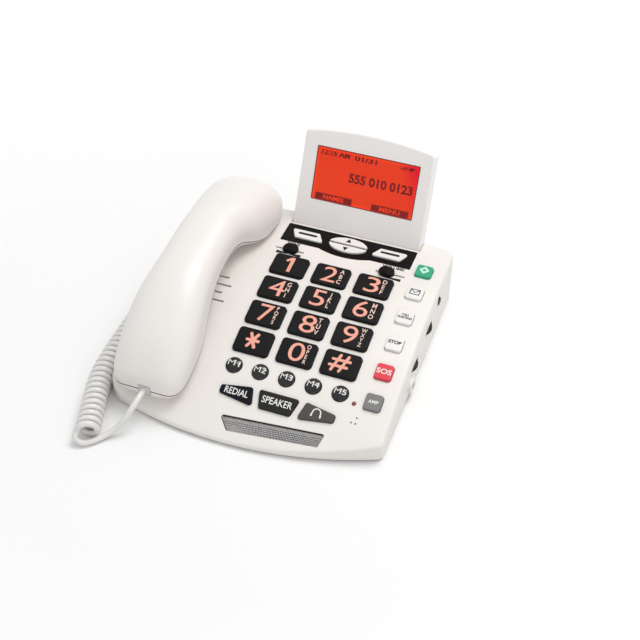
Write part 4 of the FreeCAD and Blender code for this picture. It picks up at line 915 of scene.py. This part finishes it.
def picture_prints():
    """What the lit display shows: time, date, a number, signs and two soft-key words."""
    for name, words, x, y, tall, wide in (
            ("time", "12:15 AM", -22.4, 14.2, 3.9, 19.0),
            ("date", "01/31", -2.0, 14.2, 3.9, 15.0),
            ("number", "555 010 0123", 10.0, 0.4, 6.2, 43.0)):
        letters("picture_" + name, words, face_place(x, y, INK), "picture_dark", "display",
                height=tall * MM, width=wide * MM, bold=0.035)
    shape = bmesh.new()
    for side in (-1, 1):
        plate(shape, side * WORD_X, WORD_Y, 25.0, 4.3)
    mark("picture_bars", shape, face_place(0, 0, LENS_FRONT + INK), "picture_dark", "display")
    picture_border("picture_rim", "rim_print_and_seam_shade", 0.0, RIM)
    # painted glow: the display's light spreading into the window's edge, drawn on the lens
    picture_border("picture_edge_glow", "lcd", RIM, EDGE)
    # two small signs: a block with a stub, and four rising steps
    shape = bmesh.new()
    plate(shape, 28.0, 14.4, 2.2, 2.6)
    plate(shape, 29.8, 14.4, 1.4, 1.4)
    for step in range(4):
        plate(shape, 21.4 + step * 1.3, 13.6 + step * 0.3, 0.7, 1.2 + step * 0.6)
    mark("picture_marks", shape, face_place(0, 0, INK / 2), "picture_dark", "display")
    for side, word in ((-1, "NAMES"), (1, "MENU")):
        place = face_place(side * WORD_X, WORD_Y, LENS_FRONT + 2 * INK)
        letters("picture_word_%s" % word.lower(), word, place, "lcd", "display",
                height=2.8 * MM, width=14.0 * MM, bold=0.03)


def under_deck(spot, drop):
    """The point at a spot of the drawing, a little under the deck's crown."""
    z = CROWN_Z - DECK_R + math.sqrt((DECK_R - drop) ** 2 - (spot.y - CROWN_Y) ** 2)
    return (Vector((spot.x, spot.y, z)) - DRAWING) * MM


def speaker_screen():
    """The woven wire screen behind the speaker's opening."""
    rear_left, rear_right, front_right, front_left = SCREEN
    columns, rows = 64, 8
    shape = bmesh.new()
    bmesh.ops.create_grid(shape, x_segments=columns, y_segments=rows, size=0.5)
    for vert in shape.verts:
        u, v = vert.co.x + 0.5, vert.co.y + 0.5
        spot = (front_left.lerp(front_right, u)).lerp(rear_left.lerp(rear_right, u), v)
        vert.co = under_deck(spot, SCREEN_DROP)
    bmesh.ops.recalc_face_normals(shape, faces=shape.faces)
    piece = add("speaker_screen", mesh_of("speaker_screen", shape), "grille_metal", "base")
    wires = piece.modifiers.new("wires", "WIREFRAME")
    wires.thickness = SCREEN_WIRE * MM
    wires.use_even_offset = False
    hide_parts("speaker_grille")


def screen_painted_shade():
    """A dark strip at the rear and the left edges of the screen's opening: painted shade for the
    shadow of the opening's walls.
    """
    inset, wide = 0.3, 0.4
    drop, tall = 0.55, 0.7
    rear_left, rear_right, front_left = SCREEN[0], SCREEN[1], SCREEN[3]
    shape = bmesh.new()
    for start, end in ((rear_right, rear_left), (rear_left, front_left)):
        inward = (end - start).orthogonal().normalized()
        for vert in bmesh.ops.create_cube(shape, size=1.0)["verts"]:
            spot = start.lerp(end, vert.co.x + 0.5) + inward * (inset + vert.co.y * wide)
            vert.co = under_deck(spot, drop - vert.co.z * tall)
    bmesh.ops.recalc_face_normals(shape, faces=shape.faces)
    # painted shade: a dark strip where the opening's walls shade the screen
    add("screen_painted_shade", mesh_of("screen_painted_shade", shape), "control_black", "base")


# --------------------------------------------------------------------- the cord


def route(points):
    """Points of the cord's route, from the drawing's millimetres to metres."""
    return [(Vector((WALL_X + x, y, z)) - DRAWING) * MM for x, y, z in points]


def spline(name, points, steps):
    """A smooth curve with the points as its control points."""
    curve = bpy.data.curves.new(name, "CURVE")
    curve.dimensions = "3D"
    curve.resolution_u = steps
    line = curve.splines.new("NURBS")
    line.points.add(len(points) - 1)
    for point, spot in zip(line.points, points):
        point.co = (*spot, 1)
    line.order_u = 3
    line.use_endpoint_u = True
    made = bpy.data.objects.new(name, curve)
    bpy.context.scene.collection.objects.link(made)
    return made


def mesh_from(curve):
    """The mesh of a curve as it is drawn."""
    bpy.context.view_layer.update()
    return bpy.data.meshes.new_from_object(
        curve.evaluated_get(bpy.context.evaluated_depsgraph_get()))


def helix_points():
    """The curly cord's turns, wound round the line of its coil."""
    axis = spline("coil_axis", route(COIL_AXIS), 12)
    line = [vert.co.copy() for vert in mesh_from(axis).vertices]
    bpy.data.objects.remove(axis)
    reach = [0.0]
    for before, after in zip(line, line[1:]):
        reach.append(reach[-1] + (after - before).length)
    count = sizes().turns * TURN_STEPS
    radius = sizes().bend / math.cos(math.pi / TURN_STEPS)
    up = Vector((0, 0, 1))
    points, place = [], 0
    for step in range(TURN_STEPS // 4, count + 1):
        along = reach[-1] * step / count
        while reach[place + 1] < along and place < len(line) - 2:
            place += 1
        share = (along - reach[place]) / (reach[place + 1] - reach[place])
        middle = line[place].lerp(line[place + 1], min(share, 1.0))
        ahead = (line[place + 1] - line[place]).normalized()
        left = up.cross(ahead)
        turn = 2 * math.pi * step / TURN_STEPS
        points.append(middle + (left * math.sin(turn) - up * math.cos(turn)) * radius)
    return points


def make_cord():
    """Handset tail, curly stretch and rear tail as one cord."""
    points = route(TAIL_FRONT) + helix_points() + route(TAIL_REAR)
    line = spline("cord_line", points, 3)
    path = [vert.co.copy() for vert in mesh_from(line).vertices]
    line.data.bevel_depth = CORD_R * MM
    line.data.bevel_resolution = 2
    line.data.use_fill_caps = True
    mesh = mesh_from(line)
    bpy.data.objects.remove(line)
    for face in mesh.polygons:
        face.use_smooth = True
    cord = add("curly_cord", mesh, "cord", None)
    plugs = [skin(node, "plug") for node in ("handset_plug", "base_plug")]
    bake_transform(cord)
    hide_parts("cord_tail_front", "cord_coil", "cord_tail_rear")


# -------------------------------------------------------------------- operators


class PHONE_OT_stage(bpy.types.Operator):
    """Add the camera, the floor and the lamps"""

    bl_idname = "phone.stage"
    bl_label = "Stage"

    def execute(self, context):
        place_camera()
        make_stage()
        return {"FINISHED"}


class PHONE_OT_cord(bpy.types.Operator):
    """Wind the curly cord and lay it beside the base"""

    bl_idname = "phone.cord"
    bl_label = "Curly cord"

    def execute(self, context):
        make_cord()
        return {"FINISHED"}


class PHONE_OT_finishes(bpy.types.Operator):
    """Mix every finish"""

    bl_idname = "phone.finishes"
    bl_label = "Finishes"

    def execute(self, context):
        make_finishes()
        return {"FINISHED"}


class PHONE_OT_cases(bpy.types.Operator):
    """Dress the cases, the display and the handset"""

    bl_idname = "phone.cases"
    bl_label = "Cases"

    def execute(self, context):
        dress_cases()
        # the parting line's dark band, which is also painted contact shade
        handset_seam_and_shade()
        return {"FINISHED"}


class PHONE_OT_keys(bpy.types.Operator):
    """Dress the keys and print their legends"""

    bl_idname = "phone.keys"
    bl_label = "Keys"

    def execute(self, context):
        dress_keys()
        dial_legends()
        memory_legends()
        line_legends()
        side_legends()
        panel_legends()
        return {"FINISHED"}


class PHONE_OT_deck(bpy.types.Operator):
    """Add the slider ribs, the deck's prints and the speaker's screen"""

    bl_idname = "phone.deck"
    bl_label = "Deck details"

    def execute(self, context):
        slider_ribs()
        deck_prints()
        speaker_screen()
        # painted shade at the rear and left edges of the speaker's opening
        screen_painted_shade()
        return {"FINISHED"}


class PHONE_OT_picture(bpy.types.Operator):
    """Draw what the lit display shows"""

    bl_idname = "phone.picture"
    bl_label = "Display picture"

    def execute(self, context):
        picture_prints()
        return {"FINISHED"}


class PHONE_PT_panel(bpy.types.Panel):
    """Lists the phone's pieces and settings"""

    bl_idname = "PHONE_PT_panel"
    bl_label = "Desk Phone"
    bl_space_type = "VIEW_3D"
    bl_region_type = "UI"
    bl_category = "Desk Phone"

    def draw(self, context):
        for operator in STEPS:
            self.layout.operator(operator.bl_idname)
        for group in (context.scene.phone_colours, context.scene.phone_sizes):
            for name in group.__annotations__:
                self.layout.prop(group, name)


STEPS = (PHONE_OT_finishes, PHONE_OT_stage, PHONE_OT_cord, PHONE_OT_cases, PHONE_OT_keys,
         PHONE_OT_deck, PHONE_OT_picture)
CLASSES = (PhoneColours, PhoneSizes) + STEPS + (PHONE_PT_panel,)


def register():
    """Make the classes known, and give the scene its settings."""
    for made in CLASSES:
        bpy.utils.register_class(made)
    bpy.types.Scene.phone_colours = PointerProperty(type=PhoneColours)
    bpy.types.Scene.phone_sizes = PointerProperty(type=PhoneSizes)


def unregister():
    del bpy.types.Scene.phone_sizes
    del bpy.types.Scene.phone_colours
    for made in reversed(CLASSES):
        bpy.utils.unregister_class(made)


def main():
    """Dress the phone step by step."""
    register()
    bpy.ops.phone.finishes()
    bpy.ops.phone.stage()
    bpy.ops.phone.cord()
    bpy.ops.phone.cases()
    bpy.ops.phone.keys()
    bpy.ops.phone.deck()
    bpy.ops.phone.picture()


if __name__ == "__main__":
    main()
